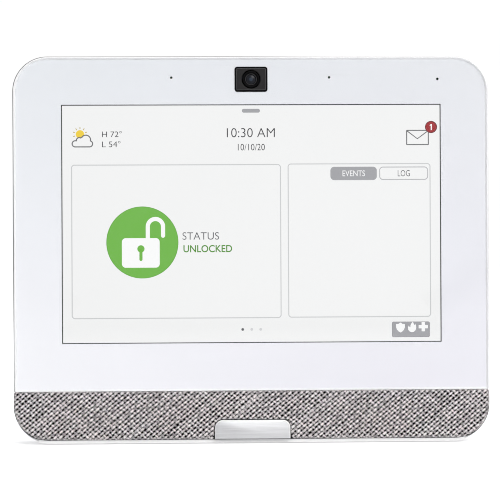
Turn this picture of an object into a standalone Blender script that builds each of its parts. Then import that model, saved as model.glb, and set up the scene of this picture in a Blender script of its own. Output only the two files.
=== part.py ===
"""Wall-mounted touch-screen alarm panel, as an assembly of separate parts.

Frame: +Z up, the glass front faces -Y, +X to the right seen from the front.
Origin: the centre of the wall bracket's back face, which lies in the wall plane (y = 0).
Shapes are worked out in millimetres and stored in metres.
"""

import math

import bmesh
import bpy
from mathutils import Matrix, Vector

# ---------------------------------------------------------------- driving dimensions (mm)
MM = 0.001
WIDTH = 188.6        # over the frame
HEIGHT = 152.0       # of the front: glass + fabric
LIP = 1.0            # how far the frame shows below the fabric
LIP_X = 88.5         # half the lip's width
RADIUS = 13.7        # corner radius of the outline
CORNER_STEPS = 7     # segments per outline corner
WALL = 2.2
GAP = 0.3            # clearance between neighbouring parts
RIM = 0.6            # visible rim beside the glass
GLASS_INSET = RIM + 0.15

Z_TOP, Z_BOTTOM = HEIGHT / 2, -HEIGHT / 2
Z_FABRIC = Z_BOTTOM + 19.6           # top of the fabric band
WINDOW_W, WINDOW_H = 150.8, 94.4
WINDOW_Z = Z_TOP - 19.0 - WINDOW_H / 2   # below a white border

# Depths. A pair is (front, back).
Y_BADGE = -21.9              # front of the badge plate
Y_GLASS = (-21.5, -20.4)
Y_RIM = -21.2                # front of the frame's rim
Y_LIP = -20.9                # front of the lip below the fabric
Y_LEDGE = (-20.1, -18.9)     # ledge the glass rests on
Y_LCD = (-19.1, -16.7)
Y_CHASSIS = (-16.4, -15.8)
Y_BOARD = (-13.4, -11.8)
Y_ON_BOARD = Y_BOARD[1] + GAP    # front of the parts behind the main board
Y_SPLIT = (-12.15, -11.85)   # frame ends, rear housing starts
Y_FLOOR = (-6.2, -4.4)       # the rear housing's recessed floor
Y_ROUND = -6.0               # the rear housing's edge starts to curve in
Y_REAR = -0.6                # the rear housing's skirt stops short of the wall
Y_PLATE = (-2.2, 0.0)        # wall bracket plate

# Depths of cutters that overrun the layer they pierce
THROUGH_PLATE = (-4, 2)
THROUGH_LEDGE = (-21, -18)
THROUGH_GLASS = (-23, -19)
THROUGH_GRILLE = (-22, -17)
THROUGH_CHASSIS = (-17, -15)
THROUGH_BOARD = (-14, -11)
THROUGH_FLOOR = (-7, -3)

# Places shared by several parts: (x, z)
SIDES = (("left", -1), ("right", 1))
CAMERA_Z = 66.9
MICS = {"mic_boot_left": (-31.6, 67.6), "mic_boot_right": (31.0, 67.6),
        "mic_boot_side": (74.1, 66.9)}
FIXING_X = 87.6
SCREWS = [(side * FIXING_X, z) for z in (66.0, 8.0, -50.0) for side in (-1, 1)]
EARS = [(side * FIXING_X, z) for z in (40.0, -24.0) for side in (-1, 1)]
HOOKS = [(side * 46.0, z) for z in (52.0, -34.0) for side in (-1, 1)]
SPEAKER_X, SPEAKER_Z = 50.0, -66.3
TAMPER = (68.0, 34.0)
BUTTON_Z, BUTTON_Y = 30.0, -9.4
SWITCH_STEM_Y = -9.9
CARD_Z = -22.0

# Rectangles: (x0, x1, z0, z1)
BOARD = (-1.0, 83.5, -48.0, 56.0)
HOLE_INSET = 5.0     # main board's holes from its edges
BOARD_HOLES = [(x, z) for z in (BOARD[3] - HOLE_INSET, BOARD[2] + HOLE_INSET)
               for x in (BOARD[0] + HOLE_INSET, BOARD[1] - HOLE_INSET)]
BATTERY = (-72.0, -8.0, -23.0, 27.0)
TRAY = (-75.0, -5.0, -27.4, 31.4)    # inside of the battery tray
TRAY_WALL = 1.2
WIRE_OPENING = (12.0, 52.0, -28.0, 10.0)
DOOR_OPENING = (-73.0, -7.0, -24.0, 28.0)
DOOR_CENTRE = (-40.0, 2.0)
DOOR_TABS = (-60.0, -22.0)           # x
DOOR_TRAVEL = 7.2

BADGE_W, BADGE_BOTTOM, BADGE_TOP = 29.9, -75.9, -68.5
BADGE_PEGS, BADGE_PEG_Z = (-9, 9), -72.2

for old in list(bpy.data.objects):
    bpy.data.objects.remove(old, do_unlink=True)
scene = bpy.context.scene
scene.unit_settings.scale_length = 1.0


# ---------------------------------------------------------------- outlines in the XZ plane
def rounded_rect(width, height, radius, x=0.0, z=0.0, steps=CORNER_STEPS, corners=(1, 1, 1, 1)):
    """Counter-clockwise from the top right. corners: which of tr, tl, bl, br are rounded."""
    points = []
    for k, (sx, sz, rounded) in enumerate(zip((1, -1, -1, 1), (1, 1, -1, -1), corners)):
        if not rounded or radius <= 0:
            points.append((x + sx * width / 2, z + sz * height / 2))
            continue
        for i in range(steps + 1):
            angle = math.pi / 2 * (k + i / steps)
            points.append((x + sx * (width / 2 - radius) + radius * math.cos(angle),
                           z + sz * (height / 2 - radius) + radius * math.sin(angle)))
    return points


def circle(x, z, radius, sides=12):
    angles = [2 * math.pi * i / sides for i in range(sides)]
    return [(x + radius * math.cos(a), z + radius * math.sin(a)) for a in angles]


def bounds_outline(bounds, radius=0.0, steps=3):
    x0, x1, z0, z1 = bounds
    return rounded_rect(x1 - x0, z1 - z0, radius, (x0 + x1) / 2, (z0 + z1) / 2, steps)


def frame_outline(inset=0.0):
    """The frame's outline. It stands LIP lower than the fabric."""
    return rounded_rect(WIDTH - 2 * inset, HEIGHT + LIP - 2 * inset, RADIUS - inset, 0, -LIP / 2)


def front_outline(inset=0.0):
    """The outline of glass plus fabric."""
    return rounded_rect(WIDTH - 2 * inset, HEIGHT - 2 * inset, RADIUS - inset)


def dropped_outline(inset, drop=30):
    """Front outline made taller by `drop`, so only its top corners matter."""
    return rounded_rect(WIDTH - 2 * inset, HEIGHT + drop, RADIUS - inset, 0, -drop / 2 - inset)


# ---------------------------------------------------------------- solids
def solid(bm):
    bmesh.ops.recalc_face_normals(bm, faces=bm.faces)
    mesh = bpy.data.meshes.new("solid")
    bm.to_mesh(mesh)
    bm.free()
    ob = bpy.data.objects.new("solid", mesh)
    scene.collection.objects.link(ob)
    return ob


def skin(bm, rings):
    """Closed solid through rings of vertices of equal count."""
    count = len(rings[0])
    for a, b in zip(rings, rings[1:]):
        for i in range(count):
            j = (i + 1) % count
            bm.faces.new((a[i], a[j], b[j], b[i]))
    bm.faces.new(rings[0])
    bm.faces.new(rings[-1][::-1])
    return solid(bm)


def loft(sections):
    """Solid through outlines of equal point count: [(y, [(x, z), ...]), ...]."""
    bm = bmesh.new()
    return skin(bm, [[bm.verts.new((x, y, z)) for x, z in points] for y, points in sections])


def prism(points, y0, y1):
    return loft([(y0, points), (y1, points)])


def box(x0, x1, y0, y1, z0, z1):
    return prism([(x1, z1), (x0, z1), (x0, z0), (x1, z0)], y0, y1)


def slab(x, z, width, height, radius, y0, y1, steps=3):
    """Round-cornered block centred on (x, z)."""
    return prism(rounded_rect(width, height, radius, x, z, steps), y0, y1)


def block(x, z, width, height, y0, y1):
    """Square-cornered block centred on (x, z)."""
    return slab(x, z, width, height, 0, y0, y1)


def cyl(x, z, radius, y0, y1, sides=12):
    return prism(circle(x, z, radius, sides), y0, y1)


def along_x(outline, x0, x1, y=0, z=0):
    """Prism along X of an outline in (y, z), moved by y and z."""
    ob = prism(outline, -x1, -x0)
    turn = Matrix.Rotation(math.radians(90), 4, "Z")
    ob.data.transform(Matrix.Translation((0, y, z)) @ turn)
    return ob


def tube(path, radius, sides=8):
    """Round bar swept along a path, closed at both ends."""
    bm = bmesh.new()
    across = None
    rings = []
    for i, point in enumerate(path):
        along = (path[min(i + 1, len(path) - 1)] - path[max(i - 1, 0)]).normalized()
        if across is None:
            across = along.orthogonal().normalized()
        else:
            across = (across - along * across.dot(along)).normalized()
        up = along.cross(across)
        rings.append([bm.verts.new(point + radius * (math.cos(a) * across + math.sin(a) * up))
                      for a in (2 * math.pi * k / sides for k in range(sides))])
    return skin(bm, rings)


def boolean(ob, other, operation):
    """Applies the operation to ob and removes the other solid."""
    mod = ob.modifiers.new("cut", "BOOLEAN")
    mod.operation = operation
    mod.solver = "EXACT"
    mod.object = other
    bpy.context.view_layer.update()
    graph = bpy.context.evaluated_depsgraph_get()
    mesh = bpy.data.meshes.new_from_object(ob.evaluated_get(graph))
    ob.modifiers.clear()
    used = (ob.data, other.data)
    ob.data = mesh
    bpy.data.objects.remove(other, do_unlink=True)
    for old_mesh in used:
        bpy.data.meshes.remove(old_mesh)


def join(ob, *others):
    for other in others:
        boolean(ob, other, "UNION")
    return ob


def cut(ob, *others):
    for other in others:
        boolean(ob, other, "DIFFERENCE")
    return ob


def below(ob, top):
    """Keeps what lies below z = top."""
    return cut(ob, box(-120, 120, -24, -10, top, 120))


def above(ob, bottom):
    """Keeps what lies above z = bottom."""
    return cut(ob, box(-120, 120, -24, -10, -140, bottom))


# ---------------------------------------------------------------- finishing an object
# name: (base colour, roughness, metallic)
FINISH = {
    "glass": ((0.88, 0.90, 0.93), 0.08, 0.0),
    "white": ((0.86, 0.87, 0.88), 0.42, 0.0),
    "fabric": ((0.36, 0.34, 0.35), 0.95, 0.0),
    "aluminium": ((0.78, 0.78, 0.80), 0.3, 1.0),
    "black": ((0.03, 0.03, 0.03), 0.45, 0.0),
    "grey": ((0.25, 0.25, 0.26), 0.5, 0.0),
    "lens": ((0.05, 0.06, 0.10), 0.03, 0.0),
    "screen": ((0.90, 0.90, 0.90), 0.3, 0.0),
    "foam": ((0.05, 0.05, 0.05), 0.95, 0.0),
    "rubber": ((0.04, 0.04, 0.04), 0.8, 0.0),
    "steel": ((0.62, 0.62, 0.63), 0.3, 1.0),
    "board": ((0.02, 0.16, 0.07), 0.4, 0.0),
    "polyimide": ((0.55, 0.30, 0.06), 0.4, 0.0),
    "battery": ((0.55, 0.57, 0.60), 0.4, 0.1),
    "cone": ((0.08, 0.08, 0.08), 0.7, 0.0),
    "terminal": ((0.03, 0.22, 0.08), 0.5, 0.0),
    "red": ((0.45, 0.03, 0.02), 0.5, 0.0),
    "brass": ((0.72, 0.55, 0.25), 0.3, 1.0),
}
MERGE_DISTANCE = 1e-5    # mm
FLAT_ANGLE = 0.4         # degrees; flatter edges are dissolved
SHARP_ANGLE = 32         # degrees; steeper edges are shaded sharp


def empty(name, at, parent=None):
    """Joint frame; keeps its place in millimetres in its "at" property."""
    ob = bpy.data.objects.new(name, None)
    scene.collection.objects.link(ob)
    ob.empty_display_size = 0.01
    ob.parent = parent
    base = parent["at"] if parent else (0, 0, 0)
    ob["at"] = at
    ob.location = [(a - b) * MM for a, b in zip(at, base)]
    return ob


bracket = empty("bracket_frame", (0, 0, 0))          # fixed to the wall
panel = empty("panel_frame", (0, 0, 0), bracket)


def material(name, finish):
    colour, roughness, metallic = FINISH[finish]
    mat = bpy.data.materials.new(name)
    mat.use_nodes = True
    inputs = mat.node_tree.nodes["Principled BSDF"].inputs
    inputs["Base Color"].default_value = (*colour, 1)
    inputs["Roughness"].default_value = roughness
    inputs["Metallic"].default_value = metallic
    return mat


def part(name, ob, finish, at=(0, 0, 0), parent=panel):
    """Names the solid, puts its origin at `at`, parents it and gives it its material."""
    ob.name = name
    mesh = ob.data
    mesh.name = name
    bm = bmesh.new()
    bm.from_mesh(mesh)
    bmesh.ops.remove_doubles(bm, verts=bm.verts, dist=MERGE_DISTANCE)
    bmesh.ops.dissolve_limit(bm, angle_limit=math.radians(FLAT_ANGLE),
                             verts=bm.verts, edges=bm.edges)
    bm.to_mesh(mesh)
    bm.free()
    mesh.transform(Matrix.Scale(MM, 4) @ Matrix.Translation([-v for v in at]))
    ob.parent = parent
    ob.location = [(a - b) * MM for a, b in zip(at, parent["at"])]
    mesh.materials.clear()       # booleans can leave an empty slot
    mesh.materials.append(material(name, finish))
    mesh.shade_smooth()
    mesh.set_sharp_from_angle(angle=math.radians(SHARP_ANGLE))


def moving_part(name, ob, finish, frame):
    """A part with its origin on its joint."""
    part(name, ob, finish, tuple(frame["at"]), frame)


def smooth_path(points, steps=4):
    """Catmull-Rom curve through points."""
    p = [Vector(q) for q in points]
    p = [2 * p[0] - p[1]] + p + [2 * p[-1] - p[-2]]
    path = []
    for a, b, c, d in zip(p, p[1:], p[2:], p[3:]):
        for i in range(steps):
            t = i / steps
            path.append(0.5 * (2 * b + (c - a) * t + (2 * a - 5 * b + 4 * c - d) * t * t
                               + (3 * b - 3 * c + d - a) * t ** 3))
    return path + [p[-2]]


def lead(name, points, radius, finish):
    part(name, tube(smooth_path(points), radius), finish, points[-1])


# ================================================================ wall bracket
# x, z, width, height
PLATE_WINDOWS = [(32, -5, 48, 50), (-36, -5, 46, 50)]    # for the wires; over the battery door
SCREW_SLOTS = [                                          # the last two at gang-box spacing
    (-66, 50, 4.6, 9), (66, 48, 4.6, 9), (-66, -46, 9, 4.6), (66, -46, 9, 4.6),
    (0, 41.65, 10, 4.6), (0, -41.65, 10, 4.6)]
POCKETS = [                                              # leave ribs on the wall side
    (-36, 35, 42, 18), (32, 35, 44, 18), (-36, -41, 42, 12), (32, -41, 44, 12),
    (-66.5, 18, 9, 44), (-66.5, -20, 9, 24), (66.5, 14, 9, 48), (66.5, -24, 9, 20),
    (0, 25, 14, 18), (0, -26, 14, 14)]


def wall_bracket():
    plate = slab(0, 2, 150, 116, 6, *Y_PLATE, 4)
    for place in PLATE_WINDOWS:
        cut(plate, slab(*place, 4, *THROUGH_PLATE))
    for place in SCREW_SLOTS:
        cut(plate, slab(*place, 2.3, *THROUGH_PLATE))
    for place in POCKETS:
        cut(plate, slab(*place, 2.5, -0.9, 1))
    for x, z in HOOKS:                                   # neck, then upturned tip
        join(plate, box(x - 3.5, x + 3.5, -6.9, -1.6, z - 4, z),
             box(x - 3.5, x + 3.5, -8.0, -6.5, z - 4, z + 5))
    return plate


part("wall_bracket", wall_bracket(), "white", parent=bracket)


# ================================================================ front frame and glass
def fabric_room():
    """Space for the fabric band; a lip as wide as the straight bottom edge stays below it."""
    back = Y_CHASSIS[0]
    room = prism(front_outline(-GAP), -23, back)
    join(room, box(LIP_X, 100, -23, back, -90, Z_FABRIC),
         box(-100, -LIP_X, -23, back, -90, Z_FABRIC),
         box(-100, 100, -23, Y_LIP, -90, Z_FABRIC))
    return below(room, Z_FABRIC)


def front_frame():
    frame = loft([(Y_RIM, frame_outline(0.42)), (Y_RIM + 0.1, frame_outline(0.16)),
                  (Y_RIM + 0.4, frame_outline()), (Y_SPLIT[0], frame_outline())])
    cut(frame, prism(dropped_outline(RIM), -22.5, Y_LEDGE[0]))       # glass pocket
    cut(frame, fabric_room())
    # hollows behind the glass ledge and behind the speaker plate
    cut(frame, above(prism(dropped_outline(WALL, 40), Y_LEDGE[1], -11), Z_FABRIC + 2))
    cut(frame, below(prism(frame_outline(WALL), -15.2, -11), Z_FABRIC))
    cut(frame, block(0, WINDOW_Z, 165.6, 102.6, *THROUGH_LEDGE))     # display opening
    cut(frame, slab(0, CAMERA_Z, 13.4, 10.2, 1.2, *THROUGH_LEDGE, 2))
    for x, z in MICS.values():
        cut(frame, cyl(x, z, 0.8, *THROUGH_LEDGE, 8))
    for side in (-1, 1):
        cut(frame, slab(side * SPEAKER_X, SPEAKER_Z, 39.0, 12.4, 6.0, -17, -14, 4))
    for x, z in SCREWS:                                              # screw posts
        post_front = -19.4 if z > Z_FABRIC else -16.0
        join(frame, cyl(x, z, 3.3, post_front, -8.9))
        cut(frame, cyl(x, z, 1.5, -16.2, -8, 10))
    for x, z in EARS:                      # pegs, melted over behind the display chassis
        head = [(-15.5, 2.1), (-15.1, 1.8), (-14.8, 1.0)]            # y, radius
        join(frame, cyl(x, z, 2.5, -19.4, -16.7, 10), cyl(x, z, 1.1, -17.0, -15.2, 10),
             loft([(y, circle(x, z, radius, 10)) for y, radius in head]))
    return frame


def cover_glass():
    front, back = Y_GLASS
    bevel = 0.2
    full = dropped_outline(GLASS_INSET)
    glass = loft([(front, dropped_outline(GLASS_INSET + bevel, 30 - 2 * bevel)),
                  (front + bevel, full), (back, full)])
    above(glass, Z_FABRIC + 0.15)
    cut(glass, slab(0, CAMERA_Z, 13.3, 10.2, 1.2, *THROUGH_GLASS))
    for x, z in MICS.values():
        cut(glass, cyl(x, z, 0.45, *THROUGH_GLASS, 8))
    return glass


part("front_frame", front_frame(), "white")
part("cover_glass", cover_glass(), "glass")

# ================================================================ display stack
GASKET_MARGIN = 1.6      # gasket opening over the window, both sides together
CHASSIS_WINDOWS = [(-20, 8), (18, 44)]       # z0, z1
# display flex in section: y, z
FLEX = [(-17.7, -41.4), (-17.7, -43.3), (-16.6, -44.2), (-15.0, -44.2), (-14.25, -43.4),
        (-14.25, -36.0), (-13.7, -36.0), (-13.7, -35.0), (-14.6, -35.0), (-14.6, -43.2),
        (-15.2, -43.8), (-16.4, -43.8), (-17.3, -43.0), (-17.3, -41.4)]

gasket = block(0, WINDOW_Z, 163, 100, -20.1, -19.4)
cut(gasket, block(0, WINDOW_Z, WINDOW_W + GASKET_MARGIN, WINDOW_H + GASKET_MARGIN, -21, -19))
part("display_gasket", gasket, "foam")
part("lcd_module", slab(0, WINDOW_Z, 164.6, 101.6, 1.0, *Y_LCD, 2), "screen")


def lcd_chassis():
    chassis = box(-83, 83, *Y_CHASSIS, -42, 60.5)
    for x, z in EARS:
        side = math.copysign(1, x)
        join(chassis, box(*sorted((side * 81, side * 90.2)), *Y_CHASSIS, z - 4, z + 4))
        cut(chassis, cyl(x, z, 1.5, *THROUGH_CHASSIS, 10))
    cut(chassis, box(20, 52, *THROUGH_CHASSIS, -43, -39.5))          # notch for the display flex
    for x, z in BOARD_HOLES:                                         # main board's standoffs
        join(chassis, cyl(x, z, 2.6, -16.1, Y_BOARD[0] - GAP, 10))
        cut(chassis, cyl(x, z, 1.5, -17, -13, 8))
    for z0, z1 in CHASSIS_WINDOWS:
        cut(chassis, box(14, 70, *THROUGH_CHASSIS, z0, z1))
    return chassis


part("lcd_chassis", lcd_chassis(), "steel")
part("display_flex", along_x(FLEX, 23, 49), "polyimide")

# ================================================================ speaker band
GRILLE_SLOTS, GRILLE_PITCH = 10, 3.6
FABRIC_EDGE = [(-21.5, 1.1), (-21.35, 0.6), (-21.0, 0.15), (-20.6, 0.0), (-16.7, 0.0)]  # y, inset


def grille_carrier():
    carrier = below(prism(front_outline(0.9), -20.6, -16.7), Z_FABRIC - 0.6)
    cut(carrier, below(prism(front_outline(2.2), -18.8, -15), Z_FABRIC - 1.8))
    for side in (-1, 1):
        for i in range(GRILLE_SLOTS):
            x = side * SPEAKER_X + (i - (GRILLE_SLOTS - 1) / 2) * GRILLE_PITCH
            cut(carrier, block(x, SPEAKER_Z, 1.6, 9.2, *THROUGH_GRILLE))
    for x in BADGE_PEGS:
        cut(carrier, cyl(x, BADGE_PEG_Z, 1.2, *THROUGH_GRILLE, 8))
    return carrier


def grille_fabric():
    fabric = loft([(y, front_outline(inset)) for y, inset in FABRIC_EDGE])
    below(fabric, Z_FABRIC - 0.3)
    cut(fabric, prism(front_outline(0.6), -20.9, -15))               # hollow back
    notch_h = 20                                                     # runs out past the bottom
    notch_z = BADGE_TOP + GAP - notch_h / 2
    return cut(fabric, slab(0, notch_z, BADGE_W + 2 * GAP, notch_h, 3.3, -23, -20.0, 4))


def badge_plate():
    outline = rounded_rect(BADGE_W, BADGE_TOP - BADGE_BOTTOM, 3.0, 0,
                           (BADGE_BOTTOM + BADGE_TOP) / 2, 5, corners=(1, 1, 0, 0))
    badge = prism(outline, Y_BADGE, -21.0)
    return join(badge, *[cyl(x, BADGE_PEG_Z, 0.85, -21.4, -19.2, 8) for x in BADGE_PEGS])


part("grille_carrier", grille_carrier(), "black")
part("grille_fabric", grille_fabric(), "fabric")
part("badge_plate", badge_plate(), "aluminium")


def speaker_slab(side, *size_and_depth, steps=4):
    """Slab on a speaker's centre: width, height, radius, y0, y1."""
    return slab(side * SPEAKER_X, SPEAKER_Z, *size_and_depth, steps)


for name, side in SIDES:
    ring = speaker_slab(side, 43.4, 13.8, 5.5, -18.5, -17.9)
    cut(ring, speaker_slab(side, 37.0, 10.4, 5.0, -20, -17))
    part(f"speaker_gasket_{name}", ring, "foam")
    basket = speaker_slab(side, 44.0, 14.4, 5.6, -17.6, -16.7)
    join(basket, speaker_slab(side, 38.0, 11.4, 5.6, -17.2, -12.5))
    cut(basket, speaker_slab(side, 35.8, 9.6, 4.7, -19, -13.7))
    part(f"speaker_basket_{name}", basket, "black")
    magnet = speaker_slab(side, 26.0, 8.6, 1.2, -12.2, -9.6, steps=2)
    part(f"speaker_magnet_{name}", magnet, "steel")


# ================================================================ camera and microphones
def camera_turning(stations, sides=20):
    """Round solid on the camera axis; stations are (y, radius)."""
    return loft([(y, circle(0, CAMERA_Z, radius, sides)) for y, radius in stations])


BARREL_BACK, LENS_BACK, BOOT_BACK = -14.8, -19.7, -17.2

bezel = slab(0, CAMERA_Z, 12.7, 9.6, 0.9, -21.1, -18.0)
join(bezel, block(0, CAMERA_Z, 16.4, 11.6, -18.6, -17.5))            # flange
cut(bezel, cyl(0, CAMERA_Z, 3.7, -22, -16, 20))
part("camera_bezel", bezel, "black")

barrel = camera_turning([(-20.8, 3.1), (-20.5, 3.4), (BARREL_BACK, 3.4)])
cut(barrel, camera_turning([(-21.2, 2.9), (-19.4, 2.4)]))
part("camera_barrel", barrel, "black", (0, BARREL_BACK, CAMERA_Z))
lens = camera_turning([(-20.35, 0.7), (-20.25, 1.3), (-20.0, 1.8), (LENS_BACK, 2.05)], 16)
part("camera_lens", lens, "lens", (0, LENS_BACK, CAMERA_Z))

sensor = box(-38, 80, -16.9, -15.9, 61.5, 72.3)
part("sensor_board", cut(sensor, cyl(0, CAMERA_Z, 4.0, -18, -15, 16)), "board")
for name, (x, z) in MICS.items():
    boot = cut(cyl(x, z, 2.5, -18.6, BOOT_BACK), cyl(x, z, 0.8, -19.5, -16.5, 8))
    part(name, boot, "rubber", (x, BOOT_BACK, z))

# ================================================================ boards and electronics
# name, finish, (x0, x1, y0, y1, z0, z1)
PLAIN_BOXES = [
    ("camera_board", "board", (-8, 8, -14.5, -13.7, 61.6, 73.0)),
    ("radio_module", "steel", (12, 30, Y_ON_BOARD, -9.6, 20, 44)),
    ("cell_module", "grey", (16, 34, Y_ON_BOARD, -9.3, -46.5, -31)),
    ("battery_header", "white", (2.8, 9.6, Y_ON_BOARD, -8.9, 34.5, 41.5)),
]
for name, finish, extent in PLAIN_BOXES:
    part(name, box(*extent), finish)

board = prism(bounds_outline(BOARD), *Y_BOARD)
for x, z in BOARD_HOLES:
    cut(board, cyl(x, z, 1.5, *THROUGH_BOARD, 8))
part("main_board", board, "board")
for i, (x, z) in enumerate(BOARD_HOLES, 1):
    screw = join(cyl(x, z, 2.5, Y_ON_BOARD, -10.3), cyl(x, z, 1.1, -15.4, -11.2, 8))
    cut(screw, block(x, z, 6, 0.6, -10.8, -10))
    part(f"board_screw_{i}", screw, "steel", (x, Y_ON_BOARD, z))
part("shield_can", slab(47, 34, 26, 28, 1.0, Y_ON_BOARD, -9.3, 2), "steel")

antenna = box(-78, -44, -14.6, -13.8, 62.5, 70.5)
part("wifi_antenna", cut(antenna, box(-76, -50, -15, -13, 65.2, 66.0)), "brass")

# power terminal: two wells open to the rear, each with a wire entry and a screw
TERMINAL_XS, TERMINAL_Z, TERMINAL_SCREW_Y = (25.5, 32.5), 2.5, -8.3
terminal = box(22, 36, Y_ON_BOARD, -6.9, -6, 8)
for x in TERMINAL_XS:
    cut(terminal, cyl(x, TERMINAL_Z, 2.2, -8.6, -6, 10))
    cut(terminal, box(x - 1.6, x + 1.6, -10.9, -9.0, -8, 4.5))
part("power_terminal", terminal, "terminal")
for (name, _), x in zip(SIDES, TERMINAL_XS):
    screw = cyl(x, TERMINAL_Z, 1.8, TERMINAL_SCREW_Y, -7.2)
    cut(screw, block(x, TERMINAL_Z, 6, 0.6, -7.7, -7))
    part(f"terminal_screw_{name}", screw, "steel", (x, TERMINAL_SCREW_Y, TERMINAL_Z))

switch = box(80, 86.6, Y_ON_BOARD, -8.4, BUTTON_Z - 3, BUTTON_Z + 3)
join(switch, along_x(circle(0, 0, 1.2, 10), 86.2, 87.4, SWITCH_STEM_Y, BUTTON_Z))
part("power_switch", switch, "grey")

socket = box(74.5, 90.5, Y_ON_BOARD, -9.1, CARD_Z - 7.6, CARD_Z + 7.6)
cut(socket, box(77.7, 92, -11.05, -9.55, CARD_Z - 5.9, CARD_Z + 5.9))
part("card_socket", socket, "steel")

part("battery_pack", prism(bounds_outline(BATTERY, 3.0), -14.6, -8.2), "battery")
PAD_INSET = 6
pad_x0, pad_x1, pad_z0, pad_z1 = BATTERY
part("battery_pad", box(pad_x0 + PAD_INSET, pad_x1 - PAD_INSET, -15.5, -14.9,
                        pad_z0 + PAD_INSET, pad_z1 - PAD_INSET), "foam")

# name, radius, finish, points (x, y, z)
LEADS = [
    ("antenna_lead", 0.65, "black",
     [(-43.4, -14.2, 66.5), (-34, -13.4, 65.6), (-18, -11.6, 58), (-6, -10.7, 48),
      (4, -10.5, 44.5), (11.6, -10.5, 42)]),
    ("battery_lead", 1.0, "red",
     [(-14, -11.4, 27.4), (-14, -11.2, 33.5), (-9.5, -10.6, 37.5), (-2, -10.3, 38),
      (2.4, -10.3, 38)]),
    ("speaker_lead_left", 0.7, "black",
     [(-30.4, -14.1, SPEAKER_Z), (-20, -11.6, -66), (-4, -10.2, -60), (5, -10.2, -53),
      (9.5, -10.5, -46)]),
    ("speaker_lead_right", 0.7, "black",
     [(30.4, -14.1, SPEAKER_Z), (24, -11.6, -66), (17, -10.2, -60), (13.4, -10.2, -53),
      (12.6, -10.5, -46)]),
]
for name, radius, finish, points in LEADS:
    lead(name, points, radius, finish)

# ================================================================ rear housing
EDGE_STEPS, EDGE_INSET = 4, 3.0      # the curved rear edge
VENTS, VENT_PITCH = 11, 7.0
HOUSING_SCREW_Y = -7.1


def housing_shell():
    sections = [(Y_SPLIT[1], frame_outline()), (Y_ROUND, frame_outline())]
    for i in range(1, EDGE_STEPS + 1):
        angle = math.pi / 2 * i / EDGE_STEPS
        sections.append((Y_ROUND + (Y_REAR - Y_ROUND) * math.sin(angle),
                         frame_outline(EDGE_INSET * (1 - math.cos(angle)))))
    shell = loft(sections)
    cut(shell, prism(frame_outline(WALL), -12.6, Y_FLOOR[0]))
    cut(shell, prism(frame_outline(4.4), Y_FLOOR[1], 1.0))
    # channel for a cable that runs down the wall
    return cut(shell, box(26, 36, Y_FLOOR[1], 1.0, -79, -70))


def battery_tray():
    x0, x1, z0, z1 = TRAY
    tray = box(x0 - TRAY_WALL, x1 + TRAY_WALL, -14.9, -5.6, z0 - TRAY_WALL, z1 + TRAY_WALL)
    cut(tray, box(x0, x1, -16, -5.0, z0, z1))
    return cut(tray, box(-17.0, -11.0, -16, -9.2, 30, 34))           # battery lead exit


def door_opening():
    """Opening with notches that let the door's tabs in before it slides."""
    z0, z1 = DOOR_OPENING[2:]
    opening = prism(bounds_outline(DOOR_OPENING, 2.0, 2), *THROUGH_FLOOR)
    for tab in DOOR_TABS:
        x = tab + DOOR_TRAVEL
        join(opening, box(x - 3.4, x + 3.4, *THROUGH_FLOOR, z0 - 2.2, z0 + 3),
             box(x - 3.4, x + 3.4, *THROUGH_FLOOR, z1 - 3, z1 + 2.2))
    return opening


def rear_housing():
    rear = join(housing_shell(), battery_tray())
    for x, z in SCREWS:                                  # counterbored bosses
        join(rear, cyl(x, z, 4.8, -8.6, -5.6, 14))
        cut(rear, cyl(x, z, 3.1, -7.4, -3), cyl(x, z, 1.5, -9.5, -6, 10))
    cut(rear, door_opening())
    cut(rear, prism(bounds_outline(WIRE_OPENING, 3.0), *THROUGH_FLOOR))
    for x, z in HOOKS:
        cut(rear, box(x - 4.0, x + 4.0, *THROUGH_FLOOR, z - 10.2, z + 0.3))
    cut(rear, cyl(*TAMPER, 2.4, *THROUGH_FLOOR))
    for i in range(VENTS):                               # cooling slots
        x = (i - VENTS // 2) * VENT_PITCH
        cut(rear, slab(x, 66.5, 2.4, 9.0, 1.2, *THROUGH_FLOOR, 2))
    button_hole = rounded_rect(3.8, 12.6, 1.8, steps=3)
    cut(rear, along_x(button_hole, 91, 96, BUTTON_Y, BUTTON_Z))
    return cut(rear, box(91, 96, -11.1, -9.5, CARD_Z - 6.1, CARD_Z + 6.1))   # card slot


part("rear_housing", rear_housing(), "white")
for i, (x, z) in enumerate(SCREWS, 1):                   # cross-slotted
    screw = join(cyl(x, z, 2.7, HOUSING_SCREW_Y, -5.6), cyl(x, z, 1.15, -15.6, -6.8, 8))
    cut(screw, block(x, z, 6, 0.7, -6.2, -5), block(x, z, 0.7, 6, -6.2, -5))
    part(f"housing_screw_{i}", screw, "steel", (x, HOUSING_SCREW_Y, z))


# ================================================================ moving parts
def battery_door():
    x, z = DOOR_CENTRE
    z0, z1 = DOOR_OPENING[2:]
    door = slab(x, z, 74, 59, 3.0, -4.1, -2.6)
    for tab in DOOR_TABS:
        for edge, inward in ((z1, -1), (z0, 1)):         # neck, then outward toe
            root = edge + inward * 1.9
            neck = sorted((root, edge + inward * 0.4))
            toe = sorted((root, edge - inward * 1.8))
            join(door, box(tab - 3, tab + 3, -7.6, -3.5, *neck),
                 box(tab - 3, tab + 3, -7.6, -6.5, *toe))
    for i in range(4):                                   # thumb grooves
        cut(door, block(DOOR_OPENING[0] + 10 + i * 2.6, z, 1.0, 20, -3.1, -2))
    return door


door_frame = empty("door_frame", (DOOR_CENTRE[0], Y_FLOOR[1], DOOR_CENTRE[1]), panel)
moving_part("battery_door", battery_door(), "white", door_frame)

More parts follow.
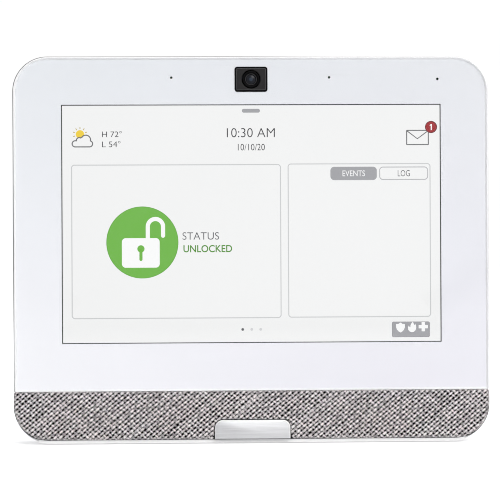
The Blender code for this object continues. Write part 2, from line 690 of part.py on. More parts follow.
button_frame = empty("button_frame", (92.0, BUTTON_Y, BUTTON_Z), panel)
cap = along_x(rounded_rect(3.2, 12.0, 1.6, steps=3), 91.0, 94.8, BUTTON_Y, BUTTON_Z)
join(cap, box(90.3, 91.8, BUTTON_Y - 2.0, BUTTON_Y + 2.0, BUTTON_Z - 7.5, BUTTON_Z + 7.5),
     along_x(circle(0, 0, 1.4, 10), 88.1, 90.8, SWITCH_STEM_Y, BUTTON_Z))
moving_part("power_button", cap, "white", button_frame)

CARD_END = 93.4
card_frame = empty("card_frame", (CARD_END, -10.3, CARD_Z), panel)
card = box(78.2, CARD_END, -10.7, -9.9, CARD_Z - 5.5, CARD_Z + 5.5)
cut(card, box(78, 80.2, -12, -9, CARD_Z - 6, CARD_Z - 4.1))
moving_part("memory_card", card, "black", card_frame)

# ---- tamper switch, plunger and the spring between them
COIL_RADIUS, COIL_TURNS, COIL_STEPS = 2.75, 3.5, 11
COIL_BACK, COIL_LENGTH = -7.8, 2.35
tamper_x, tamper_z = TAMPER
part("tamper_switch", slab(*TAMPER, 7.6, 7.6, 1.0, Y_ON_BOARD, -10.5, 2), "grey")

plunger_frame = empty("plunger_frame", (tamper_x, Y_PLATE[0], tamper_z), panel)
PIN = [(-8.5, 1.8), (-3.0, 1.8), (-2.5, 1.2)]            # y, radius
pin = loft([(y, circle(*TAMPER, radius)) for y, radius in PIN])
join(pin, cyl(*TAMPER, 3.3, -7.2, -6.5))                 # flange
moving_part("tamper_plunger", pin, "black", plunger_frame)

coil = []
for i in range(int(COIL_TURNS * COIL_STEPS) + 1):
    angle = 2 * math.pi * i / COIL_STEPS
    coil.append(Vector((tamper_x + COIL_RADIUS * math.cos(angle),
                        COIL_BACK - COIL_LENGTH * i / (COIL_TURNS * COIL_STEPS),
                        tamper_z + COIL_RADIUS * math.sin(angle))))
part("tamper_spring", tube(coil, 0.28, 6), "steel", (tamper_x, -7.2, tamper_z))

# ---- speaker cones: y, width, height, radius
CONE = [(-17.6, 12.0, 3.6, 1.6), (-17.2, 20.0, 5.4, 2.5), (-16.9, 34.6, 8.6, 4.1),
        (-16.3, 34.6, 8.6, 4.1)]
for name, side in SIDES:
    x = side * SPEAKER_X
    cone_frame = empty(f"cone_frame_{name}", (x, -16.5, SPEAKER_Z), panel)
    cone = loft([(y, rounded_rect(*size, x, SPEAKER_Z, 3)) for y, *size in CONE])
    join(cone, speaker_slab(side, 20.0, 5.0, 2.0, -16.6, -14.9, steps=3))
    moving_part(f"speaker_cone_{name}", cone, "cone", cone_frame)
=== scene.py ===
"""A wall-mounted touch-screen alarm panel, dressed round its CAD frame.

+Z is up, the glass front faces -Y and the back of the wall bracket lies on y = 0. Lengths are in
millimetres and are stored in metres. Outlines are lists of (x, z) points.
"""

import math
import random
from contextlib import contextmanager
from functools import cached_property

import bmesh
import bpy
import numpy as np
from mathutils import Matrix, Vector

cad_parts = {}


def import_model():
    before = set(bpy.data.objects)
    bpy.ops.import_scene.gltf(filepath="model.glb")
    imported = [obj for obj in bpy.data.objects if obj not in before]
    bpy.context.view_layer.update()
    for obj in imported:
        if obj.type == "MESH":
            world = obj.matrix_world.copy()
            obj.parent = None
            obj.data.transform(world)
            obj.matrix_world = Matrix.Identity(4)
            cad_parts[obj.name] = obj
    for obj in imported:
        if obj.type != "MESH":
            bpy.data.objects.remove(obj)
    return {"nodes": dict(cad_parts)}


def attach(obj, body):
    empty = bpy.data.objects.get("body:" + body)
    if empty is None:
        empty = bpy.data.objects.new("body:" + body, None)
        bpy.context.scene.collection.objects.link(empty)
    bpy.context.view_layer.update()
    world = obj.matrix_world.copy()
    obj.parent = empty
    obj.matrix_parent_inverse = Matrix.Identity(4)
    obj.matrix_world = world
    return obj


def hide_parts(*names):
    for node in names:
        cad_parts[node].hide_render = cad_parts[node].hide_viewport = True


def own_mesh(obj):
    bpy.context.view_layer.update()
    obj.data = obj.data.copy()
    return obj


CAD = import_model()["nodes"]
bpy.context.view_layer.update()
scene = bpy.context.scene
METRES = 0.001          # metres in a millimetre

# ---------------------------------------------------------------- dimensions shared with the CAD
WIDTH, HEIGHT, CORNER = 188.6, 152.0, 13.7
BAND_TOP = -56.4        # where the glass ends and the cloth band begins
WINDOW_HALF, WINDOW_BOTTOM, WINDOW_TOP = 75.4, -37.65, 57.0
CAMERA_Z = 66.9
PINHOLES = [(-31.6, 67.6), (31.0, 67.6), (74.1, 66.9)]
SIDE_X = 87.6           # line of the posts down both sides
HOUSING_SCREWS = [(side * SIDE_X, z) for z in (66.0, 8.0, -50.0) for side in (-1, 1)]
BOARD_SCREWS = [(x, z) for z in (51.0, -43.0) for x in (4.0, 78.5)]
PLUNGER_X, PLUNGER_Z = 68.0, 34.0


# ================================================================ node trees
def linear(*rgb):
    """Scene-linear colour of an 8-bit display colour."""
    def channel(value):
        value /= 255.0
        return value / 12.92 if value <= 0.04045 else ((value + 0.055) / 1.055) ** 2.4
    return tuple(channel(value) for value in rgb)


def shade(colour, factor):
    return tuple(min(1.0, value * factor) for value in colour)


class Nodes:
    """A shader node tree, built a step at a time."""

    def __init__(self, owner):
        owner.use_nodes = True
        self.tree = owner.node_tree
        self.tree.nodes.clear()

    def plug(self, value, socket):
        """Links a socket or sets a value; a colour without alpha is made opaque."""
        if isinstance(value, bpy.types.NodeSocket):
            self.tree.links.new(value, socket)
        elif isinstance(value, tuple) and len(value) < len(socket.default_value):
            socket.default_value = (*value, 1.0)
        else:
            socket.default_value = value

    def node(self, kind, inputs=(), **settings):
        node = self.tree.nodes.new("ShaderNode" + kind)
        for key, value in settings.items():
            setattr(node, key, value)
        for key, value in dict(inputs).items():
            self.plug(value, node.inputs[key])
        return node

    def out(self, kind, inputs=(), **settings):
        """First output of a new node."""
        return self.node(kind, inputs, **settings).outputs[0]

    def maths(self, operation, first, second=0.0, clamp=False):
        return self.out("Math", {0: first, 1: second}, operation=operation, use_clamp=clamp)

    def times(self, first, second):
        return self.maths("MULTIPLY", first, second)

    def span(self, value, ends, to=(0.0, 1.0), **settings):
        """Maps the range between two ends onto another, and holds it there."""
        return self.out("MapRange", {"Value": value, "From Min": ends[0], "From Max": ends[1],
                                     "To Min": to[0], "To Max": to[1]}, **settings)

    def mix(self, factor, low, high, blend="MIX"):
        return self.node("Mix", {"Factor": factor, 6: low, 7: high},
                         data_type="RGBA", blend_type=blend).outputs[2]

    def grade(self, value, ends, low, high, amount=(0.0, 1.0)):
        """Colour that goes from low to high as value crosses the ends."""
        return self.mix(self.span(value, ends, amount), low, high)


class Mat(Nodes):
    """A node material. Its textures run in object coordinates, in millimetres."""

    def __init__(self, name):
        self.material = bpy.data.materials.new(name)
        super().__init__(self.material)

    def surface(self, kind, inputs):
        """Ends the tree with a shader and gives back the material."""
        self.node("OutputMaterial", {0: self.out(kind, inputs)})
        return self.material

    def principled(self, **values):
        return self.surface("BsdfPrincipled", {k.replace("_", " "): v for k, v in values.items()})

    @cached_property
    def coords(self):
        place = self.node("TexCoord").outputs["Object"]
        return self.out("VectorMath", {0: place, "Scale": 1 / METRES}, operation="SCALE")

    def place(self):
        """Outputs X, Y and Z of the place."""
        return self.node("SeparateXYZ", {0: self.coords}).outputs

    def stretched(self, *scale):
        return self.out("Mapping", {"Vector": self.coords, "Scale": scale})

    def joined(self, x, y, z):
        return self.out("CombineXYZ", {"X": x, "Y": y, "Z": z})

    def noise(self, scale, detail=2.0, rough=0.5, distort=0.0, vector=None):
        return self.out("TexNoise", {"Vector": vector or self.coords, "Scale": scale,
                                     "Detail": detail, "Roughness": rough, "Distortion": distort})

    def cells(self, scale, vector=None, randomness=1.0, output="Distance", **settings):
        inputs = {"Vector": vector or self.coords, "Scale": scale, "Randomness": randomness}
        return self.node("TexVoronoi", inputs, **settings).outputs[output]

    def ramp(self, value, *stops):
        node = self.node("ValToRGB", {"Fac": value})
        elements = node.color_ramp.elements
        while len(elements) < len(stops):
            elements.new(0.5)
        for element, (position, colour) in zip(elements, stops):
            element.position = position
            element.color = (*colour, 1.0)
        return node.outputs["Color"]

    def bump(self, height, strength, depth):
        return self.out("Bump", {"Height": height, "Strength": strength,
                                 "Distance": depth * METRES})


# ================================================================ kinds of material
PLASTICS = {  # colour, roughness, grain scale, grain depth, colour variation, specular level
    "glass_edge_bead": ((0.94, 0.94, 0.945), 0.5, 6.0, 0.004, 0.02, 0.2),
    "glass_ink_black": ((0.002, 0.002, 0.003), 0.6, 8.0, 0.003, 0.1, 0.1),
    # painted shade: near-black welt colour for the shade where the cloth turns under
    "welt_shade_black": ((0.022, 0.020, 0.020), 0.7, 4.0, 0.02, 0.2, 0.1),
    # painted shade: dark grey hem colour for the shadow gap at the cloth's cut ends
    "hem_shade_grey": ((0.16, 0.15, 0.152), 0.8, 4.0, 0.03, 0.2, 0.1),
    "camera_block": ((0.021, 0.0205, 0.021), 0.5, 6.0, 0.010, 0.12, 0.12),
    "camera_block_rim": ((0.0015, 0.0015, 0.002), 0.55, 6.0, 0.006, 0.1, 0.06),
    # painted highlight: a lighter copy of the camera block's colour for its arris
    "camera_arris_painted_glint": ((0.075, 0.074, 0.075), 0.4, 6.0, 0.006, 0.1, 0.2),
    "camera_ring_black": ((0.0015, 0.0015, 0.002), 0.5, 3.0, 0.002, 0.1, 0.06),
    "shell_white": ((0.80, 0.81, 0.82), 0.50, 5.0, 0.010, 0.03, 0.3),
    "rear_white": ((0.74, 0.75, 0.76), 0.52, 3.2, 0.022, 0.04, 0.35),
    "door_white": ((0.74, 0.75, 0.765), 0.52, 3.2, 0.022, 0.04, 0.5),
    "bracket_white": ((0.61, 0.62, 0.635), 0.55, 2.6, 0.03, 0.05, 0.35),
    "button_grey": ((0.52, 0.53, 0.55), 0.4, 5.0, 0.01, 0.05, 0.5),
    "carrier_black": ((0.004, 0.004, 0.0045), 0.8, 4.0, 0.015, 0.15, 0.05),
    "card_black": ((0.016, 0.016, 0.018), 0.4, 4.0, 0.008, 0.1, 0.5),
    "switch_grey": ((0.22, 0.22, 0.23), 0.45, 5.0, 0.01, 0.05, 0.5),
    "tamper_grey": ((0.10, 0.10, 0.105), 0.45, 5.0, 0.01, 0.05, 0.5),
    "plunger_black": ((0.02, 0.02, 0.022), 0.4, 5.0, 0.008, 0.05, 0.5),
    "terminal_green": ((0.03, 0.30, 0.12), 0.4, 5.0, 0.012, 0.05, 0.5),
    "header_cream": ((0.70, 0.67, 0.58), 0.45, 5.0, 0.01, 0.05, 0.5),
    "basket_black_left": ((0.016, 0.016, 0.017), 0.5, 4.0, 0.014, 0.05, 0.5),
    "basket_black_right": ((0.016, 0.016, 0.017), 0.5, 4.0, 0.014, 0.05, 0.5),
    "chip_epoxy": ((0.014, 0.014, 0.015), 0.5, 6.0, 0.012, 0.15, 0.5),
    "tantalum_yellow": ((0.62, 0.34, 0.035), 0.45, 5.0, 0.01, 0.1, 0.5),
    "ceramic_tan": ((0.42, 0.30, 0.19), 0.5, 6.0, 0.01, 0.12, 0.5),
    "ferrite_grey": ((0.075, 0.075, 0.078), 0.75, 5.0, 0.03, 0.15, 0.5),
    "connector_cream": ((0.66, 0.63, 0.54), 0.45, 5.0, 0.01, 0.06, 0.5),
}


def moulded(name, painted_light=None):
    """Injection-moulded plastic: spark-eroded grain, faint flow mottling and uneven gloss."""
    colour, rough, grain, depth, vary, shine = PLASTICS[name]
    mat = Mat(name)
    flow = mat.noise(scale=0.06, detail=3.0, rough=0.55, distort=0.6)
    fine = mat.noise(scale=grain, detail=3.0, rough=0.6)
    tint = mat.grade(flow, (0.3, 0.7), shade(colour, 1 - vary), shade(colour, 1 + vary * 0.5))
    tint = mat.grade(fine, (0.35, 0.75), tint, shade(colour, 0.7), amount=(0.0, 0.10))
    # painted light and shade laid over the colour, where a hook for it is given
    if painted_light:
        tint = painted_light(mat, tint)
    scuff = mat.noise(scale=0.5, detail=5.0, rough=0.65)
    return mat.principled(
        Base_Color=tint, Roughness=mat.span(scuff, (0.3, 0.7), to=(rough - 0.05, rough + 0.09)),
        Normal=mat.bump(fine, strength=0.5, depth=depth), IOR=1.49, Specular_IOR_Level=shine)


def rim_painted_light_shade(mat, tint):
    """Painted light and shade on the front frame: painted shade on the drafted edge, darkest down
    the left side; painted light on the front face, strongest near the top, and on the foot below the
    cloth.
    """
    height = mat.place()["Z"]
    place = mat.place()
    # painted shade: the drafted edge of the rim is greyer, darkest down the left side and lightest
    # on the right
    draft = mat.times(mat.span(place["Y"], (-21.16, -21.06)), mat.span(place["Y"], (-20.0, -20.1)))
    right = mat.grade(place["X"], (-10.0, 30.0), (0.42, 0.412, 0.41), (0.86, 0.855, 0.855))
    tint = mat.mix(draft, tint,
                   mat.grade(place["X"], (-90.0, -76.0), (0.15, 0.147, 0.147), right))
    # painted light: the front face of the frame is lighter, fully so above z = 60
    lip = mat.times(mat.span(place["Y"], (-21.15, -21.18)),
                    mat.span(height, (60.0, 40.0), to=(1.0, 0.6)))
    tint = mat.mix(lip, tint, (0.95, 0.95, 0.955))
    # painted light: the foot below the cloth is near-white, against the shade under the overhang
    return mat.grade(height, (-75.2, -75.6), tint, (0.985, 0.985, 0.985))


def brushed(name, colour, rough, scale=(0.15, 6.0, 6.0), depth=0.006, contrast=0.18,
            metallic=1.0):
    """Metal with brushed lines along the axis of the smallest scale."""
    mat = Mat(name)
    lines = mat.noise(scale=1.0, detail=6.0, rough=0.7, vector=mat.stretched(*scale))
    broad = mat.noise(scale=0.12, detail=3.0)
    tint = mat.grade(lines, (0.25, 0.75), shade(colour, 1 - contrast),
                     shade(colour, 1 + contrast * 0.4))
    tint = mat.grade(broad, (0.35, 0.7), tint, shade(colour, 0.75), amount=(0.0, 0.12))
    return mat.principled(
        Base_Color=tint, Metallic=metallic,
        Roughness=mat.span(lines, (0.2, 0.8), to=(rough - 0.06, rough + 0.12)),
        Normal=mat.bump(lines, strength=0.4, depth=depth))


def zinc(name, colour, rough):
    """Plated steel: small crystals, slight tarnish and rolling marks."""
    mat = Mat(name)
    grain = mat.cells(scale=2.2, output="Color")
    flake = mat.noise(scale=3.0, detail=4.0, rough=0.6)
    roll = mat.noise(scale=1.0, detail=4.0, rough=0.6, vector=mat.stretched(0.2, 4.0, 4.0))
    grey = mat.out("RGBToBW", {0: grain})
    tint = mat.grade(grey, (0.2, 0.8), shade(colour, 0.86), shade(colour, 1.1))
    tint = mat.grade(flake, (0.5, 0.75), tint, shade(colour, 0.62), amount=(0.0, 0.3))
    return mat.principled(
        Base_Color=tint, Metallic=1.0,
        Roughness=mat.span(flake, (0.3, 0.7), to=(rough - 0.05, rough + 0.15)),
        Normal=mat.bump(roll, strength=0.35, depth=0.008))


def foam(name, colour=(0.035, 0.035, 0.037), size=1.6):
    """Open-cell foam: a net of small dark cells."""
    mat = Mat(name)
    walls = mat.cells(scale=size, feature="DISTANCE_TO_EDGE")
    pores = mat.cells(scale=size * 2.3)
    tint = mat.grade(walls, (0.0, 0.18), shade(colour, 1.9), colour)
    tint = mat.grade(pores, (0.1, 0.5), tint, shade(colour, 0.35), amount=(0.35, 0.0))
    return mat.principled(Base_Color=tint, Roughness=0.95, Specular_IOR_Level=0.2,
                          Normal=mat.bump(walls, strength=0.9, depth=0.12))


def rubber(name, colour=(0.028, 0.028, 0.03), rough=0.72):
    mat = Mat(name)
    fine = mat.noise(scale=7.0, detail=4.0, rough=0.65)
    bloom = mat.noise(scale=0.35, detail=4.0, rough=0.6, distort=0.4)
    tint = mat.grade(bloom, (0.4, 0.75), colour, shade(colour, 2.0), amount=(0.0, 0.5))
    return mat.principled(
        Base_Color=tint, Roughness=mat.span(fine, (0.3, 0.7), to=(rough - 0.08, rough + 0.1)),
        Normal=mat.bump(fine, strength=0.5, depth=0.02))


def circuit(name, mask, pitch, seed):
    """Solder-masked circuit board: etched runs under the mask, vias and tinned pads."""
    mat = Mat(name)
    place = mat.place()
    x, z = place["X"], place["Z"]
    flat = mat.joined(x, z, seed)
    # each zone of the board has its runs along x or along z
    zones = mat.cells(scale=0.09, output="Color", vector=flat)
    pick = mat.maths("GREATER_THAN", mat.out("SeparateColor", {0: zones}), 0.5)
    across = mat.out("Mix", {"Factor": pick, 2: x, 3: z}, data_type="FLOAT")
    run = mat.maths("LESS_THAN", mat.maths("FRACT", mat.maths("DIVIDE", across, pitch)), 0.45)
    run = mat.times(run, mat.maths("GREATER_THAN", mat.noise(scale=0.16, vector=flat), 0.47))
    grid = mat.cells(scale=0.42, randomness=0.75, vector=flat)
    via = mat.maths("LESS_THAN", grid, 0.16)
    hole = mat.maths("LESS_THAN", grid, 0.07)
    pads = mat.cells(scale=0.2, randomness=0.9, vector=flat, distance="CHEBYCHEV")
    metal = mat.maths("MAXIMUM", via, mat.maths("LESS_THAN", pads, 0.13))
    tint = mat.mix(run, mask, shade(mask, 2.1))
    tint = mat.mix(metal, tint, (0.66, 0.60, 0.46))
    tint = mat.mix(hole, tint, (0.01, 0.012, 0.01))
    height = mat.maths("ADD", mat.times(run, 0.5), metal)
    return mat.principled(
        Base_Color=tint, Metallic=mat.maths("SUBTRACT", metal, hole, clamp=True),
        Roughness=mat.mix(metal, (0.28,) * 3, (0.22,) * 3),
        Normal=mat.bump(height, strength=0.6, depth=0.03))


# ================================================================ outlines
def arc(x, z, radius, quarter, steps):
    """A quarter circle round (x, z), from so many quarter turns on."""
    angles = (math.pi / 2 * (quarter + i / steps) for i in range(steps + 1))
    return [(x + radius * math.cos(a), z + radius * math.sin(a)) for a in angles]


def rrect(width, height, radius, x=0.0, z=0.0, steps=16, square_foot=False):
    """Rounded rectangle round (x, z), counter-clockwise from the top right."""
    points = []
    for quarter, (sx, sz) in enumerate(((1, 1), (-1, 1), (-1, -1), (1, -1))):
        if square_foot and sz < 0:
            points.append((x + sx * width / 2, z + sz * height / 2))
        else:
            points += arc(x + sx * (width / 2 - radius), z + sz * (height / 2 - radius),
                          radius, quarter, steps)
    return points


def circle(x, z, radius, count=48):
    angles = (2 * math.pi * i / count for i in range(count))
    return [(x + radius * math.cos(a), z + radius * math.sin(a)) for a in angles]


def rect(x0, x1, z0, z1):
    return [(x1, z1), (x0, z1), (x0, z0), (x1, z0)]


# ================================================================ meshes
@contextmanager
def editing(mesh):
    """The mesh as a bmesh, written back at the end."""
    edit = bmesh.new()
    edit.from_mesh(mesh)
    yield edit
    edit.to_mesh(mesh)
    edit.free()


def face_front(mesh):
    """Turns every face towards -Y."""
    with editing(mesh) as edit:
        for face in edit.faces:
            face.normal_update()
            if face.normal.y > 0:
                face.normal_flip()


def baked(obj):
    """New mesh of an object as its curve settings or modifiers make it."""
    bpy.context.view_layer.update()
    depsgraph = bpy.context.evaluated_depsgraph_get()
    return bpy.data.meshes.new_from_object(obj.evaluated_get(depsgraph))


def curve_mesh(curve):
    obj = bpy.data.objects.new("curve", curve)
    scene.collection.objects.link(obj)
    mesh = baked(obj)
    bpy.data.objects.remove(obj)
    bpy.data.curves.remove(curve)
    return mesh


def outline_mesh(loops, front, back=None, bevel=0.0, steps=2):
    """Flat shape with holes at y = front, or with back a closed plate with rounded edges."""
    curve = bpy.data.curves.new("outline", "CURVE")
    curve.dimensions = "2D"
    flat = back is None
    curve.fill_mode = "FRONT" if flat else "BOTH"
    for loop in loops:
        spline = curve.splines.new("POLY")
        spline.points.add(len(loop) - 1)
        for point, (x, z) in zip(spline.points, loop):
            point.co = (x, z, 0.0, 1.0)
        spline.use_cyclic_u = True
    if not flat:
        curve.extrude = (back - front) / 2 - bevel
        curve.bevel_depth = bevel
        curve.bevel_resolution = steps
        curve.offset = -bevel
    mesh = curve_mesh(curve)
    middle = front if flat else (front + back) / 2
    mesh.transform(Matrix(((1, 0, 0, 0), (0, 0, -1, middle), (0, 1, 0, 0), (0, 0, 0, 1))))
    if flat:
        face_front(mesh)
    else:
        with editing(mesh) as edit:
            bmesh.ops.remove_doubles(edit, verts=edit.verts, dist=1e-4)
            bmesh.ops.dissolve_degenerate(edit, dist=1e-4, edges=edit.edges)
            bmesh.ops.recalc_face_normals(edit, faces=edit.faces)
    return mesh


def shell_mesh(rings, caps=(False, False)):
    """Shell through rings of points; a ring of one point is a pole. caps: first and last ring."""
    mesh = bpy.data.meshes.new("shell")
    with editing(mesh) as edit:
        rings = [[edit.verts.new(point) for point in ring] for ring in rings]
        count = max(len(ring) for ring in rings)
        for low, high in zip(rings, rings[1:]):
            for i in range(count):
                j = (i + 1) % count
                if len(low) == 1:
                    edit.faces.new((low[0], high[j], high[i]))
                elif len(high) == 1:
                    edit.faces.new((low[i], low[j], high[0]))
                else:
                    edit.faces.new((low[i], low[j], high[j], high[i]))
        if caps[0]:
            edit.faces.new(rings[0])
        if caps[1]:
            edit.faces.new(rings[-1][::-1])
        bmesh.ops.recalc_face_normals(edit, faces=edit.faces)
    return mesh


def loft_mesh(sections, caps=(True, True)):
    """Shell through outlines of equal point count: [(y, outline), ...], front first."""
    return shell_mesh([[(x, y, z) for x, z in outline] for y, outline in sections], caps)


def register(obj, node, body="panel", replaces=True):
    """Hangs the object on its body and, if it replaces a CAD node, hides that node."""
    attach(obj, body)
    if replaces:
        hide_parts(node)


def round_edges(obj, width, angle=38, segments=2, harden=False):
    bevel = obj.modifiers.new("edge", "BEVEL")
    bevel.width = width * METRES
    bevel.segments = segments
    bevel.limit_method = "ANGLE"
    bevel.angle_limit = math.radians(angle)
    bevel.miter_outer = "MITER_ARC"
    bevel.harden_normals = harden


class Piece:
    """Collects shells, in millimetres, into one mesh object."""

    def __init__(self, name):
        self.name = name
        self.edit = bmesh.new()
        self.mats = []

    def add(self, mesh, mat):
        start = len(self.edit.faces)
        self.edit.from_mesh(mesh)
        self.edit.faces.ensure_lookup_table()
        if mat not in self.mats:
            self.mats.append(mat)
        for i in range(start, len(self.edit.faces)):
            self.edit.faces[i].material_index = self.mats.index(mat)
        bpy.data.meshes.remove(mesh)

    def plate(self, loops, front, back, mat, bevel=0.0, steps=2):
        self.add(outline_mesh(loops, front, back, bevel, steps), mat)

    def loft(self, sections, mat, caps=(True, True)):
        self.add(loft_mesh(sections, caps), mat)

    def turn(self, profile, mat, centre, count):
        """Solid of revolution about the Y axis through centre. profile: [(radius, y), ...]."""
        x, z = centre
        rings = []
        for radius, y in profile:
            points = circle(x, z, radius, count) if radius > 0 else [centre]
            rings.append([(px, y, pz) for px, pz in points])
        self.add(shell_mesh(rings), mat)

    def tube(self, path, radius, mat, sides=12, flat=1.0):
        """Bar swept along a path, closed at both ends; flat scales its second axis."""
        side = None
        rings = []
        for i, point in enumerate(path):
            along = (path[min(i + 1, len(path) - 1)] - path[max(i - 1, 0)]).normalized()
            if side is None:
                side = along.orthogonal().normalized()
            else:
                side = (side - along * side.dot(along)).normalized()
            other = along.cross(side)
            angles = (2 * math.pi * k / sides for k in range(sides))
            rings.append([point + radius * (math.cos(a) * side + flat * math.sin(a) * other)
                          for a in angles])
        self.add(shell_mesh(rings, (True, True)), mat)

    def done(self, node, body="panel", replaces=True, smooth=34):
        """Makes the object; smooth is the angle in degrees beyond which an edge stays sharp."""
        mesh = bpy.data.meshes.new(self.name)
        self.edit.to_mesh(mesh)
        self.edit.free()
        mesh.transform(Matrix.Scale(METRES, 4))
        for mat in self.mats:
            mesh.materials.append(mat)
        if smooth:
            mesh.shade_smooth()
            mesh.set_sharp_from_angle(angle=math.radians(smooth))
        obj = bpy.data.objects.new(self.name, mesh)
        scene.collection.objects.link(obj)
        register(obj, node, body, replaces)
        return obj


# ================================================================ camera, world, floor and lights
CAMERA_TURN = (-0.026, 0.272, -1.639)       # rotation vector, degrees
CAMERA_AT = (-0.02198, -0.7637, -0.0004)    # metres
FLOOR_Z = -0.07755                          # metres


def set_camera():
    data = bpy.data.cameras.new("camera")
    data.lens = 135.0
    data.sensor_width = 36.0
    data.clip_start = 0.01
    data.clip_end = 50.0
    camera = bpy.data.objects.new("camera", data)
    scene.collection.objects.link(camera)
    vector = [math.radians(v) for v in CAMERA_TURN]
    turn = Matrix.Rotation(math.sqrt(sum(v * v for v in vector)), 3, Vector(vector))
    right, ahead, up = (turn @ Vector(axis) for axis in ((1, 0, 0), (0, 1, 0), (0, 0, 1)))
    pose = Matrix((right, up, -ahead)).transposed().to_4x4()
    pose.translation = Vector(CAMERA_AT)
    camera.matrix_world = pose
    scene.camera = camera
    scene.view_settings.view_transform = "Standard"
    scene.cycles.filter_width = 1.0


def set_world():
    """White to the camera; as a light, graded by direction."""
    world = bpy.data.worlds.new("studio")
    scene.world = world
    tree = Nodes(world)
    direction = tree.node("SeparateXYZ", {0: tree.node("TexCoord").outputs["Generated"]}).outputs
    colour = tree.grade(direction["X"], (-0.85, 0.2), (0.11, 0.112, 0.117), (0.93, 0.94, 0.96))
    # bright wall in front of the object, dark flags level with it, a softer wall behind
    flags = tree.node("ValToRGB", {"Fac": tree.span(direction["Y"], (-1.0, 1.0))})
    elements = flags.color_ramp.elements
    # taken before they are placed: an added stop shifts the ones after it, so order matters
    stops = [elements[0], elements[1]] + [elements.new(0.5) for _ in range(3)]
    levels = ((0.20, 1.0), (0.85, 0.74), (0.33, 0.36), (0.58, 0.27), (0.70, 0.58))
    for stop, (position, level) in zip(stops, levels):
        stop.position = position
        stop.color = (level, level, level, 1.0)
    light = tree.out("Background", {"Color": colour, "Strength": flags.outputs["Color"]})
    seen = tree.out("Background", {"Color": (1, 1, 1), "Strength": 1.02})
    to_camera = tree.node("LightPath").outputs["Is Camera Ray"]
    tree.node("OutputWorld", {0: tree.out("MixShader", {0: to_camera, 1: light, 2: seen})})


def lay_floor():
    """Grey floor that glows to the camera, more so away from the object."""
    mat = Mat("studio_floor")
    diffuse = mat.out("BsdfDiffuse", {"Color": (0.80, 0.80, 0.805)})
    place = mat.node("NewGeometry").outputs["Position"]
    away = mat.node("VectorMath", {0: place}, operation="LENGTH").outputs["Value"]
    lift = mat.span(away, (0.14, 0.45), to=(0.55, 1.0), interpolation_type="SMOOTHSTEP")
    strength = mat.times(mat.node("LightPath").outputs["Is Camera Ray"], lift)
    glow = mat.out("Emission", {"Color": (1, 1, 1), "Strength": strength})
    mesh = bpy.data.meshes.new("studio_floor")
    corners = [(x, y, FLOOR_Z) for x, y in ((-6, -6), (6, -6), (6, 6), (-6, 6))]
    mesh.from_pydata(corners, [], [(0, 1, 2, 3)])
    mesh.materials.append(mat.surface("AddShader", {0: diffuse, 1: glow}))
    floor = bpy.data.objects.new("studio_floor", mesh)
    scene.collection.objects.link(floor)


SOFTBOXES = [  # name, place (m), size (m), power (W), tint; each faces the origin
    ("key", (0.6, -1.45, 1.08), 0.9, 16.7, (1.0, 0.985, 0.97)),
    ("fill", (-1.1, -1.2, 0.5), 0.9, 1.7, (0.97, 0.985, 1.0)),
    ("top", (0.1, 0.1, 1.5), 1.2, 6.0, (1, 1, 1)),
    ("back_right", (1.1, 1.1, 0.8), 0.8, 6.5, (1, 1, 1)),
    ("back_left", (-1.3, 0.9, 0.5), 0.8, 3.0, (0.96, 0.98, 1.0)),
]


def hang_lights():
    for name, place, size, power, tint in SOFTBOXES:
        data = bpy.data.lights.new(name, "AREA")
        data.shape = "RECTANGLE"
        data.size = size
        data.size_y = size
        data.energy = power
        data.color = tint
        light = bpy.data.objects.new(name, data)
        scene.collection.objects.link(light)
        light.location = place
        light.rotation_mode = "QUATERNION"
        light.rotation_quaternion = (-Vector(place)).to_track_quat("-Z", "Y")
        light.visible_camera = False


# ================================================================ front glass
GLASS_BOTTOM = BAND_TOP + 0.05
GLASS_EDGE = 0.66       # gap from the case outline to the pane
GLASS_FOOT = 0.35       # radius of the pane's lower corners


def glass_outline(inset):
    top, bottom = HEIGHT / 2 - GLASS_EDGE - inset, GLASS_BOTTOM + inset
    half, radius = WIDTH / 2 - GLASS_EDGE - inset, CORNER - GLASS_EDGE - inset
    foot = GLASS_FOOT
    return (arc(half - radius, top - radius, radius, 0, 24)
            + arc(radius - half, top - radius, radius, 1, 24)
            + arc(foot - half, bottom + foot, foot, 2, 4)
            + arc(half - foot, bottom + foot, foot, 3, 4))


def pane_material():
    """Clear cover glass: see-through, with a mirror layer that grows towards grazing angles."""
    mat = Mat("cover_glass_clear")
    clear = mat.out("BsdfTransparent", {"Color": (0.995, 0.998, 0.997)})
    smear = mat.noise(scale=0.02, detail=4.0, rough=0.6, distort=1.2)
    mirror = mat.out("BsdfGlossy", {"Color": (1, 1, 1), "Roughness":
                                    mat.span(smear, (0.35, 0.7), to=(0.02, 0.07))})
    behind = mat.node("NewGeometry").outputs["Backfacing"]
    part = mat.times(mat.out("Fresnel", {"IOR": 1.5}), mat.maths("SUBTRACT", 1.0, behind))
    return mat.surface("MixShader", {0: part, 1: clear, 2: mirror})


def ink_material():
    """White print behind the pane, with painted light: lighter towards the foot and the left, and a
    painted highlight along its foot.
    """
    mat = Mat("glass_ink_white")
    flow = mat.noise(scale=0.03, detail=3.0)
    speck = mat.noise(scale=9.0)
    height = mat.place()["Z"]
    across = mat.place()["X"]
    sides = (-95.0, 60.0)
    # painted light: the print is lighter at the bottom and on the left, darker at the top and on the
    # right
    low = mat.grade(across, sides, linear(250, 249, 253), linear(237, 235, 242))
    high = mat.grade(across, sides, linear(229, 231, 235), linear(225, 226, 230))
    tint = mat.grade(height, (76.0, -56.0), high, low)
    tint = mat.grade(flow, (0.3, 0.7), tint, linear(220, 223, 230), amount=(0.0, 0.06))
    tint = mat.grade(speck, (0.4, 0.8), tint, linear(222, 226, 233), amount=(0.0, 0.03))
    # painted highlight along the foot of the print, where the pane's edge catches the light
    tint = mat.grade(height, (-55.3, -56.3), tint, (0.97, 0.97, 0.975), amount=(0.0, 0.8))
    return mat.principled(Base_Color=tint, Roughness=0.55, Specular_IOR_Level=0.15,
                          Normal=mat.bump(speck, strength=0.1, depth=0.004))


